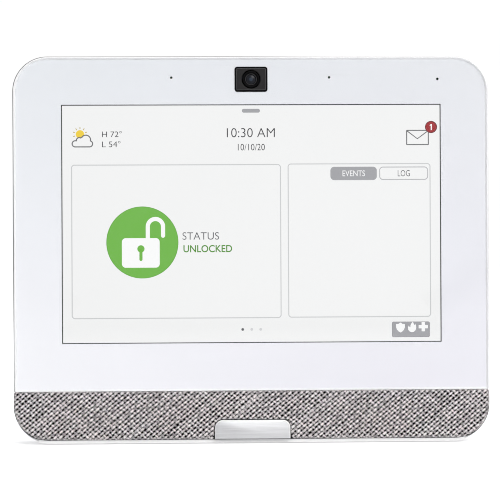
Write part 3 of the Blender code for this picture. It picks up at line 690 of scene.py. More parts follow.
def build_glass():
    pane = Piece("glass_plate")
    holes = [rrect(13.3, 10.2, 1.2, 0, CAMERA_Z, 8)]
    holes += [circle(x, z, 0.45, 20) for x, z in PINHOLES]
    pane.plate([glass_outline(0.0)] + holes, -21.5, -20.4, pane_material(), 0.09, 3)
    pane.done("cover_glass")

    sheet = Piece("glass_print")
    window = rrect(2 * WINDOW_HALF - 0.16, WINDOW_TOP - WINDOW_BOTTOM, 0.25,
                   0.08, (WINDOW_BOTTOM + WINDOW_TOP) / 2, 3)
    loops = [glass_outline(0.04), window, rrect(13.0, 9.9, 1.05, 0, CAMERA_Z, 10)]
    loops += [circle(x, z, 0.5, 20) for x, z in PINHOLES]
    sheet.plate(loops, -20.38, -20.30, ink_material())
    bead = moulded("glass_edge_bead")
    # (y, inset): the white bead that seals the pane into the frame, flush with its edge
    seal = [(-20.32, 0.0 - 0.052), (-21.19, 0.0 - 0.052),
            (-21.19, 0.055 - 0.052), (-20.32, 0.055 - 0.052)]
    # (y, inset): the fillet round the pane's ground edge
    fillet = [(-21.18, -0.045), (-21.0, 0.05), (-20.74, 0.20), (-20.41, 0.46)]
    for run in (seal, fillet):
        sheet.loft([(y, glass_outline(inset)) for y, inset in run], bead, (False, False))
    keyline = [rrect(13.08, 9.98, 1.09, 0, CAMERA_Z, 10), rrect(12.9, 9.8, 1.0, 0, CAMERA_Z, 10)]
    sheet.plate(keyline, -20.385, -20.295, moulded("glass_ink_black"))
    sheet.done("cover_glass")


# ================================================================ what the display shows
LCD_COLOURS = {  # name: (8-bit colour, light level, fall-off towards the corners)
    "white": ((242, 242, 242), 1.035, 0.012), "pure": ((255, 255, 255), 0.98, 0),
    "line": ((203, 204, 205), 1.0, 0), "mid": ((162, 162, 166), 1.0, 0),
    "icon": ((108, 108, 110), 1.0, 0), "ink": ((58, 58, 60), 1.0, 0),
    "word": ((96, 97, 100), 1.0, 0), "green": ((108, 182, 62), 1.0, 0),
    "green_edge": ((94, 166, 50), 1.0, 0), "green_word": ((78, 142, 36), 1.0, 0),
    "red": ((158, 4, 18), 1.0, 0), "red_edge": ((98, 0, 8), 1.0, 0),
    "tabline": ((184, 184, 187), 1.0, 0), "sun": ((242, 208, 52), 1.0, 0),
    "ray": ((196, 178, 110), 1.0, 0), "dot": ((92, 92, 96), 1.0, 0),
    "soft": ((212, 212, 214), 1.0, 0),
}


def lit_colour(name, rgb, level, vary):
    """A lit colour with the faint square grid of the screen's dots."""
    mat = Mat(name)
    place = mat.place()

    def from_middle(value, pitch):
        cell = mat.maths("FRACT", mat.maths("DIVIDE", value, pitch))
        return mat.maths("ABSOLUTE", mat.maths("SUBTRACT", cell, 0.5))

    def squared(value, reach):
        return mat.maths("POWER", mat.maths("DIVIDE", value, reach), 2.0)

    edge = mat.maths("MAXIMUM", from_middle(place["X"], 0.1178), from_middle(place["Z"], 0.118))
    light = mat.span(edge, (0.38, 0.5), to=(1.0, 0.90))
    if vary:
        height = mat.maths("SUBTRACT", place["Z"], 9.8)
        away = mat.maths("ADD", squared(place["X"], 90.0), squared(height, 62.0))
        fall = mat.span(away, (0.0, 1.4), to=(1.0, 1.0 - vary))
        cloud = mat.span(mat.noise(scale=0.025), (0.3, 0.7), to=(1.0 - vary * 0.5, 1.0))
        light = mat.times(light, mat.times(fall, cloud))
    return mat.principled(Base_Color=(0.015, 0.015, 0.016), Roughness=0.35,
                          Emission_Color=linear(*rgb), Emission_Strength=mat.times(light, level),
                          Specular_IOR_Level=0.1)


def capsule(x0, z0, x1, z1, width, steps=10):
    """Round-ended stroke between two points."""
    tilt = math.atan2(z1 - z0, x1 - x0)
    points = []
    for x, z, start in ((x1, z1, -math.pi / 2), (x0, z0, math.pi / 2)):
        angles = (tilt + start + math.pi * i / steps for i in range(steps + 1))
        points += [(x + width / 2 * math.cos(a), z + width / 2 * math.sin(a)) for a in angles]
    return points


def ribbon(points, width, steps=8):
    """Outline of a smooth stroke along points, with round ends."""
    left, right = [], []
    for i, (x, z) in enumerate(points):
        before, after = points[max(i - 1, 0)], points[min(i + 1, len(points) - 1)]
        dx, dz = after[0] - before[0], after[1] - before[1]
        length = math.hypot(dx, dz)
        nx, nz = -dz / length * width / 2, dx / length * width / 2
        left.append((x + nx, z + nz))
        right.append((x - nx, z - nz))

    def end(centre, start):
        x, z = centre
        first = math.atan2(start[1] - z, start[0] - x)
        angles = (first - math.pi * i / steps for i in range(1, steps))
        return [(x + width / 2 * math.cos(a), z + width / 2 * math.sin(a)) for a in angles]

    return left + end(points[-1], left[-1]) + right[::-1] + end(points[0], right[0])


def blob(discs, centre, grow, count=200):
    """Outer boundary of overlapping discs (x, z, radius), seen from centre."""
    points = []
    for i in range(count):
        angle = 2 * math.pi * i / count
        dx, dz = math.cos(angle), math.sin(angle)
        far = 0.0
        for x, z, radius in discs:
            px, pz = centre[0] - x, centre[1] - z
            along = px * dx + pz * dz
            inside = along * along - (px * px + pz * pz - (radius + grow) ** 2)
            if inside >= 0:
                far = max(far, -along + math.sqrt(inside))
        points.append((centre[0] + far * dx, centre[1] + far * dz))
    return points


class Screen(Piece):
    """Flat lit shapes in thin layers, each a little in front of the last."""

    LAYER_STEP = 0.012

    def __init__(self, name):
        super().__init__(name)
        self.colours = {key: lit_colour(f"lcd_{key}", *row) for key, row in LCD_COLOURS.items()}
        self.y = -19.12

    def layer(self):
        self.y -= self.LAYER_STEP

    def shape(self, colour, *loops):
        self.add(outline_mesh(loops, self.y), self.colours[colour])

    def ring(self, colour, x, z, width, height, radius, line):
        inner = rrect(width - 2 * line, height - 2 * line, max(radius - line, 0.05), x, z, 10)
        self.shape(colour, rrect(width, height, radius, x, z, 10), inner[::-1])

    def words(self, text, left, right, bottom, top, colour, swell):
        """Text fitted into a box. swell draws its strokes finer (negative) or bolder."""
        curve = bpy.data.curves.new("text", "FONT")
        curve.body = text
        curve.size = 10.0
        curve.offset = swell
        curve.resolution_u = 6
        mesh = curve_mesh(curve)
        points = np.array([v.co for v in mesh.vertices])
        low, high = points.min(0), points.max(0)
        sx, sz = (right - left) / (high[0] - low[0]), (top - bottom) / (high[1] - low[1])
        mesh.transform(Matrix(((sx, 0, 0, left - low[0] * sx), (0, 0, 0, self.y),
                               (0, sz, 0, bottom - low[1] * sz), (0, 0, 0, 1))))
        face_front(mesh)
        self.add(mesh, self.colours[colour])


CARDS = [(-29.836, 2.724, 83.235, 61.227), (42.913, 2.872, 56.962, 61.286)]  # x, z, width, height
HEADER_WORDS = [  # text, left, right, bottom, top, colour, swell
    ("H 72°", -59.142, -51.366, 44.222, 46.589, "ink", -0.02),
    ("L 54°", -59.142, -51.838, 40.200, 42.625, "ink", -0.02),
    ("10:30 AM", -9.661, 9.425, 43.986, 47.653, "ink", -0.08),
    ("10/10/20", -5.302, 5.419, 38.780, 41.383, "ink", -0.03),
]
TAB_WORDS = [
    ("EVENTS", 36.286, 45.240, 28.368, 30.675, "pure", 0.0),
    ("LOG", 58.317, 63.148, 28.250, 30.735, "word", -0.02),
]
STATUS_WORDS = [
    ("STATUS", -27.450, -12.959, 3.404, 6.362, "word", -0.05),
    ("UNLOCKED", -27.097, -7.776, -1.624, 1.275, "green_word", 0.14),
]
SHIELD = [
    (57.2932, -30.5905), (58.2882, -30.4718), (59.1041, -29.9177), (59.9200, -30.4718),
    (60.9150, -30.5905), (60.8752, -31.7779), (60.5170, -32.7674), (59.8802, -33.4799),
    (59.1041, -33.9153), (58.3280, -33.4799), (57.6912, -32.7674), (57.3330, -31.7779),
]
FLAME = [
    (64.0592, -29.6406), (64.3776, -30.3926), (64.7756, -31.0259), (64.9746, -30.7093),
    (64.9348, -30.3531), (65.3328, -31.1447), (65.4124, -32.0550), (65.1338, -33.0049),
    (64.4572, -33.6382), (63.6612, -33.8361), (62.7856, -33.5590), (62.1886, -32.8466),
    (62.0692, -31.9758), (62.3876, -31.1842), (62.7458, -31.6988), (63.0642, -31.8967),
    (63.1040, -31.0259), (63.5020, -30.2343),
]


def draw_header(screen):
    """Grab bar, page dots, weather, time and an envelope with its counter."""
    screen.shape("mid", rrect(7.187, 1.538, 0.757, -0.059, 54.539, 8))
    for x, colour in ((-3.711, "dot"), (-0.118, "soft"), (3.417, "soft")):
        screen.shape(colour, circle(x, -32.326, 0.55, 20))
    # sun behind a cloud
    sun_x, sun_z = -67.85, 45.35
    for i in range(6):
        angle = math.radians(18 + 36 * i)
        ends = [(sun_x + reach * math.cos(angle), sun_z + reach * math.sin(angle))
                for reach in (2.2, 2.75)]
        screen.shape("ray", capsule(*ends[0], *ends[1], 0.36))
    screen.shape("sun", circle(sun_x, sun_z, 1.68, 32))
    cloud = [(-69.75 + 5.65 * i / 24, 41.6, 1.45) for i in range(25)]
    cloud += [(-65.55, 43.15, 2.1), (-68.15, 42.95, 1.35), (-66.9, 43.0, 1.4)]
    for colour, grow in (("icon", 0.0), ("white", -0.46)):
        screen.layer()
        screen.shape(colour, blob(cloud, (-66.6, 42.0), grow))
    for row in HEADER_WORDS:
        screen.words(*row)
    screen.ring("icon", 66.270, 43.714, 9.072, 6.081, 0.4, 0.42)
    flap = [(62.087, 46.352), (66.211, 43.217), (70.452, 46.352)]
    screen.shape("icon", ribbon(flap, 0.42))
    # counter: a dark-edged red disc with the figure 1
    x, z = 71.689, 47.866
    screen.layer()
    screen.shape("red_edge", circle(x, z, 2.42, 44))
    screen.layer()
    screen.shape("red", circle(71.654, z, 2.12, 44))
    screen.layer()
    figure = [(-0.12, -1.22), (-0.12, 0.58), (-0.52, 0.40), (-0.52, 0.78), (0.02, 1.22),
              (0.36, 1.22), (0.36, -1.22)]
    screen.shape("pure", [(x + dx, z + dz) for dx, dz in figure])


def draw_padlock(screen):
    """White open padlock on a green disc."""
    disc = (-43.355, 2.399)
    screen.shape("green_edge", circle(*disc, 14.28, 96))
    screen.layer()
    screen.shape("green", circle(*disc, 14.02, 96))
    screen.layer()
    screen.shape("pure", rrect(14.962, 11.713, 1.532, -44.003, -1.742, 8))
    line = 1.6494
    left, right, top = -41.187, -35.143, 11.690     # centre line of the bow
    middle, radius = (left + right) / 2, (right - left) / 2
    bow = [(left, 3.523), (left, 6.126)]
    for i in range(21):
        angle = math.pi * i / 20
        bow.append((middle - radius * math.cos(angle), top - radius + radius * math.sin(angle)))
    bow += [(right, 6.717), (right, 5.057)]
    screen.shape("pure", ribbon(bow, line))
    screen.layer()
    key_x = -43.944
    screen.shape("green", circle(key_x, -0.145, 1.437, 28))
    screen.shape("green", capsule(key_x, -0.737, key_x, -4.345, 1.237))


def draw_tray(screen):
    """Tray with a shield, a flame and a cross."""
    tray = (63.265, -32.681)
    screen.shape("icon", rrect(15.080, 6.152, 0.648, *tray, 6))
    screen.layer()
    screen.shape("mid", rrect(14.844, 5.916, 0.542, *tray, 6))
    screen.layer()
    screen.shape("pure", SHIELD)
    screen.shape("pure", FLAME)
    x, z = 68.2183, -31.6394
    arm, half = 1.86, 0.68
    plus = [(half, arm), (-half, arm), (-half, half), (-arm, half), (-arm, -half), (-half, -half),
            (-half, -arm), (half, -arm), (half, -half), (arm, -half), (arm, half), (half, half)]
    screen.shape("pure", [(x + dx, z + dz) for dx, dz in plus])


def build_screen():
    screen = Screen("screen_graphics")
    screen.shape("white", rect(-74.90, 75.12, -37.34, 56.70))
    screen.layer()
    for x, z, width, height in CARDS:
        screen.ring("line", x, z, width, height, 1.35, 0.40)
    draw_header(screen)
    screen.shape("mid", rrect(18.497, 5.324, 1.532, 40.704, 29.492, 8))
    screen.ring("tabline", 60.673, 29.492, 19.557, 5.324, 1.532, 0.38)
    screen.layer()
    for row in TAB_WORDS:
        screen.words(*row)
    draw_padlock(screen)
    for row in STATUS_WORDS:
        screen.words(*row)
    draw_tray(screen)
    screen.done("lcd_module", replaces=False, smooth=0)


# ================================================================ speaker cloth
# A real weave of two sets of yarn, laid out flat and then draped over the edges of the band.
FOLD = 0.8              # radius of the fold of the cloth's mid-surface round the case
SKIN = 0.60             # how far the mid-surface lies inside the case outline
EASE_SIDE, EASE_FOOT = 0.23, -0.06      # corrections of that at the flanks and the foot
MID_Y = -21.2
SIDE_DROP = 3.5         # how far the cloth runs back past the fold
NOTCH_HALF, NOTCH_TOP, NOTCH_CORNER = 15.42, -67.56, 3.4    # opening for the badge
NOTCH_REACH = 20.0      # half its height; it runs off the foot
TOP_FOLD, TOP_DROP = 0.34, 1.1          # the fold along the band's top edge
TOP_LINE = -56.80 - TOP_FOLD
STEP_A = np.array([1.2238, 1.0570])     # from crossing to crossing along each set of yarns
STEP_B = np.array([1.0792, -0.8735])
WEAVE_ORIGIN = np.array([0.35, -66.4])
WEAVE_REACH = 130       # crossings laid out each way
PITCH = float(np.hypot(*STEP_A))
RISE = 0.19             # how far a yarn goes over and under
YARN_HALF_WIDTHS, YARN_HALF_THICK = (0.40, 0.37), 0.17
YARN_STEPS, YARN_SIDES = 6, 8           # rings per crossing, points per ring


def box_distance(x, z, half_width, half_height, radius):
    """Signed distance to a rounded rectangle round the origin, and the direction outwards."""
    qx, qz = np.abs(x) - (half_width - radius), np.abs(z) - (half_height - radius)
    ox, oz = np.maximum(qx, 0), np.maximum(qz, 0)
    length = np.hypot(ox, oz)
    corner = length > 1e-9
    distance = length + np.minimum(np.maximum(qx, qz), 0) - radius
    safe = np.maximum(length, 1e-9)
    nx = np.where(corner, ox / safe, (qx > qz).astype(float)) * np.sign(x)
    nz = np.where(corner, oz / safe, (qx <= qz).astype(float)) * np.sign(z)
    return distance, nx, nz


def outer_fold(x, z):
    """Distance past the fold line of the outline, and the direction it falls away in."""
    return box_distance(x, z, WIDTH / 2 - SKIN + EASE_SIDE - FOLD,
                        HEIGHT / 2 - SKIN + EASE_FOOT - FOLD, CORNER - SKIN - FOLD)


def notch_distance(x, z):
    return box_distance(x, z - (NOTCH_TOP - NOTCH_REACH), NOTCH_HALF, NOTCH_REACH, NOTCH_CORNER)


def over_edge(x, z):
    """(point, normal) of the cloth's mid-surface over flat position (x, z)."""
    distance, nx, nz = outer_fold(x, z)
    past = np.maximum(distance, 0)
    angle = np.minimum(past / FOLD, math.pi / 2)
    extra = np.maximum(past - FOLD * math.pi / 2, 0)
    out = FOLD * np.sin(angle) - past
    point = np.stack([x + nx * out, MID_Y + FOLD * (1 - np.cos(angle)) + extra, z + nz * out], -1)
    return point, np.stack([nx * np.sin(angle), -np.cos(angle), nz * np.sin(angle)], -1)


def drape(x, z, height):
    """Cloth point for flat position (x, z) and height over the mid-surface."""
    above = np.maximum(z - TOP_LINE, 0)
    distance, gx, gz = notch_distance(x, z)
    inside = np.maximum(TOP_FOLD - distance, 0) * (above <= 0)
    point, normal = over_edge(x + gx * inside, np.minimum(z, TOP_LINE) + gz * inside)
    past = above + inside
    angle = np.minimum(past / TOP_FOLD, math.pi / 2)
    extra = np.maximum(past - TOP_FOLD * math.pi / 2, 0)
    way_z = np.where(inside > 0, -gz, np.where(above > 0, 1.0, 0.0))
    way = np.stack([np.where(inside > 0, -gx, 0.0), np.zeros_like(x), way_z], -1)
    sine, cosine = np.sin(angle)[:, None], np.cos(angle)[:, None]
    radius = (TOP_FOLD + height)[:, None]
    folded = (point + way * radius * sine + normal * (radius * cosine - TOP_FOLD)
              - normal * extra[:, None])
    return np.where((past > 0)[:, None], folded, point + normal * height[:, None])


def in_cloth(x, z):
    outer, _, _ = outer_fold(x, z)
    notch, _, _ = notch_distance(x, z)
    inside = outer < FOLD * math.pi / 2 + SIDE_DROP
    inside &= z < TOP_LINE + TOP_FOLD * math.pi / 2 + TOP_DROP
    inside &= notch > TOP_FOLD - TOP_FOLD * math.pi / 2 - 0.5
    inside &= ~((notch < 0.15) & (outer > -0.4))
    return inside & (z > -90)


def yarn_points(run, flat, row, parity, side, shift, lean, swell):
    """Rings of points along one stretch of yarn, wandering and swelling a little."""
    sign = 1 - 2 * parity
    angles = (np.linspace(0, 2 * math.pi, YARN_SIDES, endpoint=False)
              + math.pi / YARN_SIDES)
    wave = np.tanh(1.5 * np.cos(math.pi * (run + row))) / math.tanh(1.5)
    wander = (lean + 0.07 * np.sin(run * 0.31 + shift) + 0.05 * np.sin(run * 0.83 + shift * 2)
              + 0.03 * np.sin(run * 2.3 + shift * 3))
    slubs = 0.10 * np.sin(run * 1.7 + shift) * np.sin(run * 0.45 + shift * 2)
    width = YARN_HALF_WIDTHS[parity] * swell * (1 + 0.07 * wave * sign + slubs)
    across = wander[:, None] + width[:, None] * np.cos(angles)[None, :]
    bulge = np.sign(np.sin(angles)) * np.abs(np.sin(angles)) ** 0.85
    height = (RISE * sign * wave)[:, None] + YARN_HALF_THICK * bulge[None, :]
    x = flat[:, 0, None] + side[0] * across
    z = flat[:, 1, None] + side[1] * across
    return drape(x.ravel(), z.ravel(), height.ravel())


def weave(name, along, across, parity, mat):
    """One set of yarns. UV: u goes round the yarn, v counts crossings along it."""
    side = np.array([-along[1], along[0]]) / np.hypot(*along)
    rng = np.random.default_rng(11 + parity)
    verts, quads, caps, uvs = [], [], [], []
    base = 0
    reach = WEAVE_REACH
    for row in range(-reach, reach):
        runs = np.arange(-reach * YARN_STEPS, reach * YARN_STEPS + 1) / YARN_STEPS
        flat = WEAVE_ORIGIN + runs[:, None] * along + row * across
        near = (np.abs(flat[:, 0]) < 101) & (flat[:, 1] < -53) & (flat[:, 1] > -83)
        if not near.any():
            continue
        runs, flat = runs[near], flat[near]
        inside = in_cloth(flat[:, 0], flat[:, 1])
        ends = [0, *(np.flatnonzero(np.diff(inside.astype(int))) + 1), len(inside)]
        shift = rng.uniform(0, 50)
        lean = rng.normal(0, 0.06)
        swell = 1 + rng.normal(0, 0.10)
        for start, stop in zip(ends, ends[1:]):
            if not inside[start] or stop - start < 4:
                continue
            run = runs[start:stop]
            verts.append(yarn_points(run, flat[start:stop], row, parity, side,
                                     shift, lean, swell))
            index = base + np.arange(len(run) * YARN_SIDES).reshape(-1, YARN_SIDES)
            turned = np.roll(index, -1, axis=1)
            corners = [index[:-1], turned[:-1], turned[1:], index[1:]]
            quads.append(np.stack(corners, -1).reshape(-1, 4))
            caps += [index[0][::-1], index[-1]]
            around = np.arange(YARN_SIDES) / YARN_SIDES
            length = run + row + parity + 2 * int(shift)
            low = np.stack(np.meshgrid(around, length[:-1]), -1)
            high = np.stack(np.meshgrid(around, length[1:]), -1)
            on = (1.0 / YARN_SIDES, 0.0)
            uvs.append(np.stack([low, low + on, high + on, high], 2).reshape(-1, 2))
            base += index.size
    mesh = bpy.data.meshes.new(name)
    mesh.from_pydata((np.concatenate(verts) * METRES).tolist(), [],
                     np.concatenate(quads).tolist() + np.array(caps).tolist())
    uvs.append(np.zeros((len(caps) * YARN_SIDES, 2)))
    layer = mesh.uv_layers.new(name="yarn")
    layer.data.foreach_set("uv", np.concatenate(uvs).astype(np.float32).ravel())
    mesh.validate()
    with editing(mesh) as edit:
        bmesh.ops.recalc_face_normals(edit, faces=edit.faces)
    mesh.shade_smooth()
    mesh.materials.append(mat)
    obj = bpy.data.objects.new(name, mesh)
    scene.collection.objects.link(obj)
    register(obj, "grille_fabric")


def yarn_material(name, light, dark, seed):
    """Spun polyester: plied strands with mixed lighter and darker fibres, and painted shade in the
    ply grooves and where each yarn dips under the other set.
    """
    mat = Mat(name)
    yarn_uv = mat.node("SeparateXYZ", {0: mat.out("UVMap", uv_map="yarn")}).outputs
    around, along = yarn_uv["X"], mat.times(yarn_uv["Y"], PITCH)
    crown = mat.maths("COSINE", mat.times(yarn_uv["Y"], math.pi))
    spiral = mat.maths("ADD", mat.times(around, 4.0), mat.maths("DIVIDE", along, 0.9))
    ply = mat.maths("SINE", mat.times(spiral, 2 * math.pi))
    fibres = mat.noise(scale=1.0, detail=3.0, rough=0.6,
                       vector=mat.joined(mat.times(around, 26.0), mat.times(along, 1.6), seed))
    slub = mat.noise(scale=1.0, detail=3.0, rough=0.7,
                     vector=mat.joined(0.0, mat.times(along, 0.6), seed))
    fleck = mat.noise(scale=0.9, rough=0.6)
    tone = mat.maths("ADD", mat.times(slub, 0.30), mat.times(fibres, 0.2))
    tone = mat.maths("ADD", tone, mat.times(fleck, 0.50))
    tint = mat.grade(tone, (0.44, 0.55), dark, light)
    # painted shade in the grooves between the plies
    tint = mat.grade(ply, (-1.0, 0.2), tint, shade(dark, 0.6), amount=(0.35, 0.0))
    # painted shade where the yarn dips under a crossing yarn; its crowns keep the full colour
    tint = mat.grade(crown, (-0.45, 0.6), tint, shade(dark, 0.35), amount=(0.8, 0.0))
    warm = mat.mix(1.0, tint, (1.0, 0.93, 0.93), "MULTIPLY")
    tint = mat.grade(mat.noise(scale=0.05), (0.35, 0.65), tint, warm, amount=(0.0, 0.35))
    height = mat.maths("ADD", mat.times(ply, 0.5), fibres)
    return mat.principled(Base_Color=tint, Roughness=0.85, Specular_IOR_Level=0.1,
                          Normal=mat.bump(height, strength=0.5, depth=0.05))


def band_run(inset, y):
    """Path round the band: from its top left corner down, along the foot and up the right."""
    half, deep, radius = WIDTH / 2 - inset, HEIGHT / 2 - inset, CORNER - inset
    top, low = BAND_TOP - 0.5, radius - deep
    points = [(-half, top - (top - low) * i / 6) for i in range(6)]
    points += arc(radius - half, low, radius, 2, 40)
    points += [(radius - half + 2 * (half - radius) * i / 12, -deep) for i in range(1, 12)]
    points += arc(half - radius, low, radius, 3, 40)
    points += [(half, low + (top - low) * (i + 1) / 6) for i in range(6)]
    return [Vector((x, y, z)) for x, z in points]


def build_welt():
    """Near-black welt the cloth is gathered into, with piping, badge collar and hems; their dark
    colours are painted shade where the cloth turns under, round the badge and at its cut ends.
    """
    welt = Piece("fabric_edge_welt")
    mat = moulded("welt_shade_black")
    # painted shade: near-black welt along the foot for the dark line where the cloth turns under
    welt.tube([p for p in band_run(0.29, -19.75) if abs(p.x) < 90.0], 0.27, mat, flat=1.6)

    def flanks(path, beyond):
        return [p for p in path if p.x < -beyond], [p for p in path if p.x > beyond]

    # near-black piping on the flanks: painted shade along the cloth's lower corners
    for flank in flanks(band_run(0.07, -20.35), 86.0):
        welt.tube(flank, 0.13, mat, sides=10)
    collar = []
    for inset in (-0.35, 0.62):
        outline = rrect(31.1 - 2 * inset, 22.0 - 2 * inset, 3.5 - inset, 0, -78.7)
        collar.append((-20.7, [(x, max(z, -75.55)) for x, z in outline]))
    welt.loft(collar, mat, (False, False))
    # hems that hold the cut ends of the cloth on both flanks; their dark grey is painted shade for
    # the gap at the cloth's ends
    hem = moulded("hem_shade_grey")
    for flank in flanks(band_run(0.56, -16.72), 88.4):
        welt.tube(flank, 0.3, hem, flat=1.5)
    welt.done("grille_fabric", smooth=60)


# ================================================================ badge (left blank)
def badge_metal():
    mat = Mat("brushed_badge")
    lines = mat.noise(scale=1.0, detail=7.0, rough=0.72, vector=mat.stretched(0.10, 9.0, 9.0))
    wide = mat.noise(scale=1.0, detail=3.0, rough=0.6, vector=mat.stretched(0.03, 1.1, 1.1))
    tint = mat.grade(lines, (0.3, 0.7), (0.56, 0.56, 0.57), (0.84, 0.84, 0.85))
    tint = mat.grade(wide, (0.35, 0.7), tint, (0.88, 0.885, 0.90), amount=(0.0, 0.5))
    return mat.principled(Base_Color=tint, Metallic=0.62, Anisotropic=0.5,
                          Roughness=mat.span(lines, (0.2, 0.8), to=(0.36, 0.52)),
                          Normal=mat.bump(lines, strength=0.35, depth=0.010))


def build_badge():
    def section(y, inset):
        return y, rrect(29.9 - 2 * inset, 7.35 - inset, 3.0 - inset, 0, -71.78 - inset / 2, 14,
                        square_foot=True)

    metal = badge_metal()
    # painted highlight: the chamfer is plain white, with little metal, in place of the glint of a
    # polished edge
    bright = brushed("badge_chamfer_painted_glint", (1.0, 1.0, 1.0), rough=0.3, scale=(0.5, 3.0, 3.0),
                     depth=0.003, contrast=0.03, metallic=0.25)
    badge = Piece("badge_blank")
    badge.loft([section(-21.9, 0.42), section(-21.88, 0.38)], metal, (True, False))
    badge.loft([section(-21.88, 0.38), section(-21.62, 0.08), section(-21.5, 0.0)], bright,
               (False, False))
    badge.loft([section(-21.5, 0.0), section(-21.0, 0.0)], metal, (False, True))
    peg = [(0.85, -21.05), (0.85, -19.4), (0.6, -19.2), (0, -19.2)]
    for x in (-9, 9):
        badge.turn(peg, metal, (x, -71.9), 24)
    badge.done("badge_plate")


# ================================================================ camera
def build_bezel():
    """Dark outer step, a raised grey face with a painted highlight along its arris, and a round
    bore.
    """
    def section(y, inset):
        return y, rrect(12.7 - 2 * inset, 9.6 - 2 * inset, max(0.9 - inset, 0.25), 0, CAMERA_Z, 12)

    centre = (0, CAMERA_Z)
    block, rim = moulded("camera_block"), moulded("camera_block_rim")
    face_y, face = section(-21.1, 0.68)
    bezel = Piece("camera_bezel_block")
    bezel.add(outline_mesh([face, circle(*centre, 3.95, 96)], face_y), block)
    # painted highlight: the arris is a lighter copy of the block's plastic
    bezel.loft([section(-21.1, 0.68), section(-21.08, 0.56), section(-21.0, 0.50)],
               moulded("camera_arris_painted_glint"), (False, False))
    steps = [(-21.0, 0.50), (-20.86, 0.48), (-20.86, 0.14), (-20.74, 0.0), (-18.6, 0.0)]
    bezel.loft([section(y, inset) for y, inset in steps], rim, (False, False))
    bezel.turn([(3.95, -21.1), (3.8, -21.05), (3.7, -20.9), (3.7, -17.5)], block, centre, 96)
    flange = [rrect(16.4, 11.6, 0.5, *centre, 4), circle(*centre, 3.7, 96)]
    bezel.plate(flange, -18.6, -17.5, rim, 0.1, 1)
    bezel.done("camera_bezel")


def build_barrel():
    mat = Mat("camera_baffle")
    tint = mat.mix(mat.noise(scale=4.0, detail=3.0), (0.030, 0.029, 0.030), (0.045, 0.044, 0.046))
    baffle = mat.principled(Base_Color=tint, Roughness=0.5, Specular_IOR_Level=0.15,
                            Normal=mat.bump(mat.noise(scale=8.0), strength=0.3, depth=0.01))
    barrel = Piece("camera_barrel_rings")
    rings = [(0.0, -14.8), (3.4, -14.8), (3.4, -20.5), (3.34, -20.62), (3.2, -20.68),
             (2.75, -20.68), (2.6, -20.6), (2.52, -20.3), (2.4, -20.3), (2.3, -20.36)]
    barrel.turn(rings, moulded("camera_ring_black"), (0, CAMERA_Z), 96)
    well = [(2.3, -20.36), (2.2, -20.4), (2.08, -20.36), (2.06, -19.7), (0, -19.7)]
    barrel.turn(well, baffle, (0, CAMERA_Z), 96)
    barrel.done("camera_barrel")


# the bluish grey of the first two stops, at the middle, is a painted reflection of a front light
LENS_RINGS_AND_REFLECTION = [  # part of the lens radius, colour
    (0.0, (0.026, 0.036, 0.050)), (0.26, (0.034, 0.046, 0.062)), (0.42, (0.0015, 0.002, 0.006)),
    (0.64, (0.003, 0.004, 0.010)), (0.76, (0.018, 0.018, 0.020)), (0.95, (0.026, 0.025, 0.028)),
    (1.0, (0.01, 0.01, 0.01)),
]


def build_lens():
    mat = Mat("camera_lens_coated")
    place = mat.place()
    height = mat.maths("SUBTRACT", place["Z"], CAMERA_Z)
    squares = mat.maths("ADD", mat.maths("POWER", place["X"], 2.0),
                        mat.maths("POWER", height, 2.0))
    # rings of the lens, with a painted reflection at the middle
    rings = mat.ramp(mat.maths("DIVIDE", mat.maths("SQRT", squares), 2.1), *LENS_RINGS_AND_REFLECTION)
    tint = mat.mix(1.0, rings, (0.72, 0.78, 0.86), "MULTIPLY")
    tint = mat.grade(mat.noise(scale=2.0), (0.3, 0.8), tint, (0.015, 0.022, 0.04),
                     amount=(0.0, 0.15))
    coated = mat.principled(Base_Color=tint, Roughness=0.35, Coat_Weight=0.1,
                            Coat_Roughness=0.12, Specular_IOR_Level=0.2)
    lens = Piece("camera_lens_dome")
    dome = [(0.0, -20.36), (0.35, -20.35), (0.7, -20.32), (1.05, -20.26), (1.35, -20.18),
            (1.65, -20.06), (1.88, -19.92), (2.05, -19.74), (2.05, -19.66), (0.0, -19.66)]
    lens.turn(dome, coated, (0, CAMERA_Z), 72)
    lens.done("camera_lens")


# ================================================================ solids for the big mouldings
def loft_solid(sections):
    obj = bpy.data.objects.new("temp", loft_mesh(sections))
    scene.collection.objects.link(obj)
    return obj


def prism(outline, front, back):
    return loft_solid([(front, outline), (back, outline)])


def box(x0, x1, front, back, z0, z1):
    return prism(rect(x0, x1, z0, z1), front, back)


def cylinder(x, z, radius, front, back, count=32):
    return prism(circle(x, z, radius, count), front, back)


def combine(solid, tools, operation):
    """Combines the solid with all the tools in one step, and removes them."""
    group = bpy.data.collections.new("temp")
    scene.collection.children.link(group)
    for tool in tools:
        scene.collection.objects.unlink(tool)
        group.objects.link(tool)
    boolean = solid.modifiers.new("cut", "BOOLEAN")
    boolean.operation = operation
    boolean.solver = "EXACT"
    boolean.operand_type = "COLLECTION"
    boolean.collection = group
    mesh = baked(solid)
    solid.modifiers.clear()
    old = solid.data
    solid.data = mesh
    bpy.data.meshes.remove(old)
    for tool in tools:
        data = tool.data
        bpy.data.objects.remove(tool, do_unlink=True)
        bpy.data.meshes.remove(data)
    bpy.data.collections.remove(group)


def join(solid, *tools):
    for tool in tools:
        combine(solid, [tool], "UNION")


def cut(solid, tool):
    combine(solid, [tool], "DIFFERENCE")


def cut_all(solid, tools):
    """Cuts by tools that don't touch one another."""
    combine(solid, tools, "DIFFERENCE")


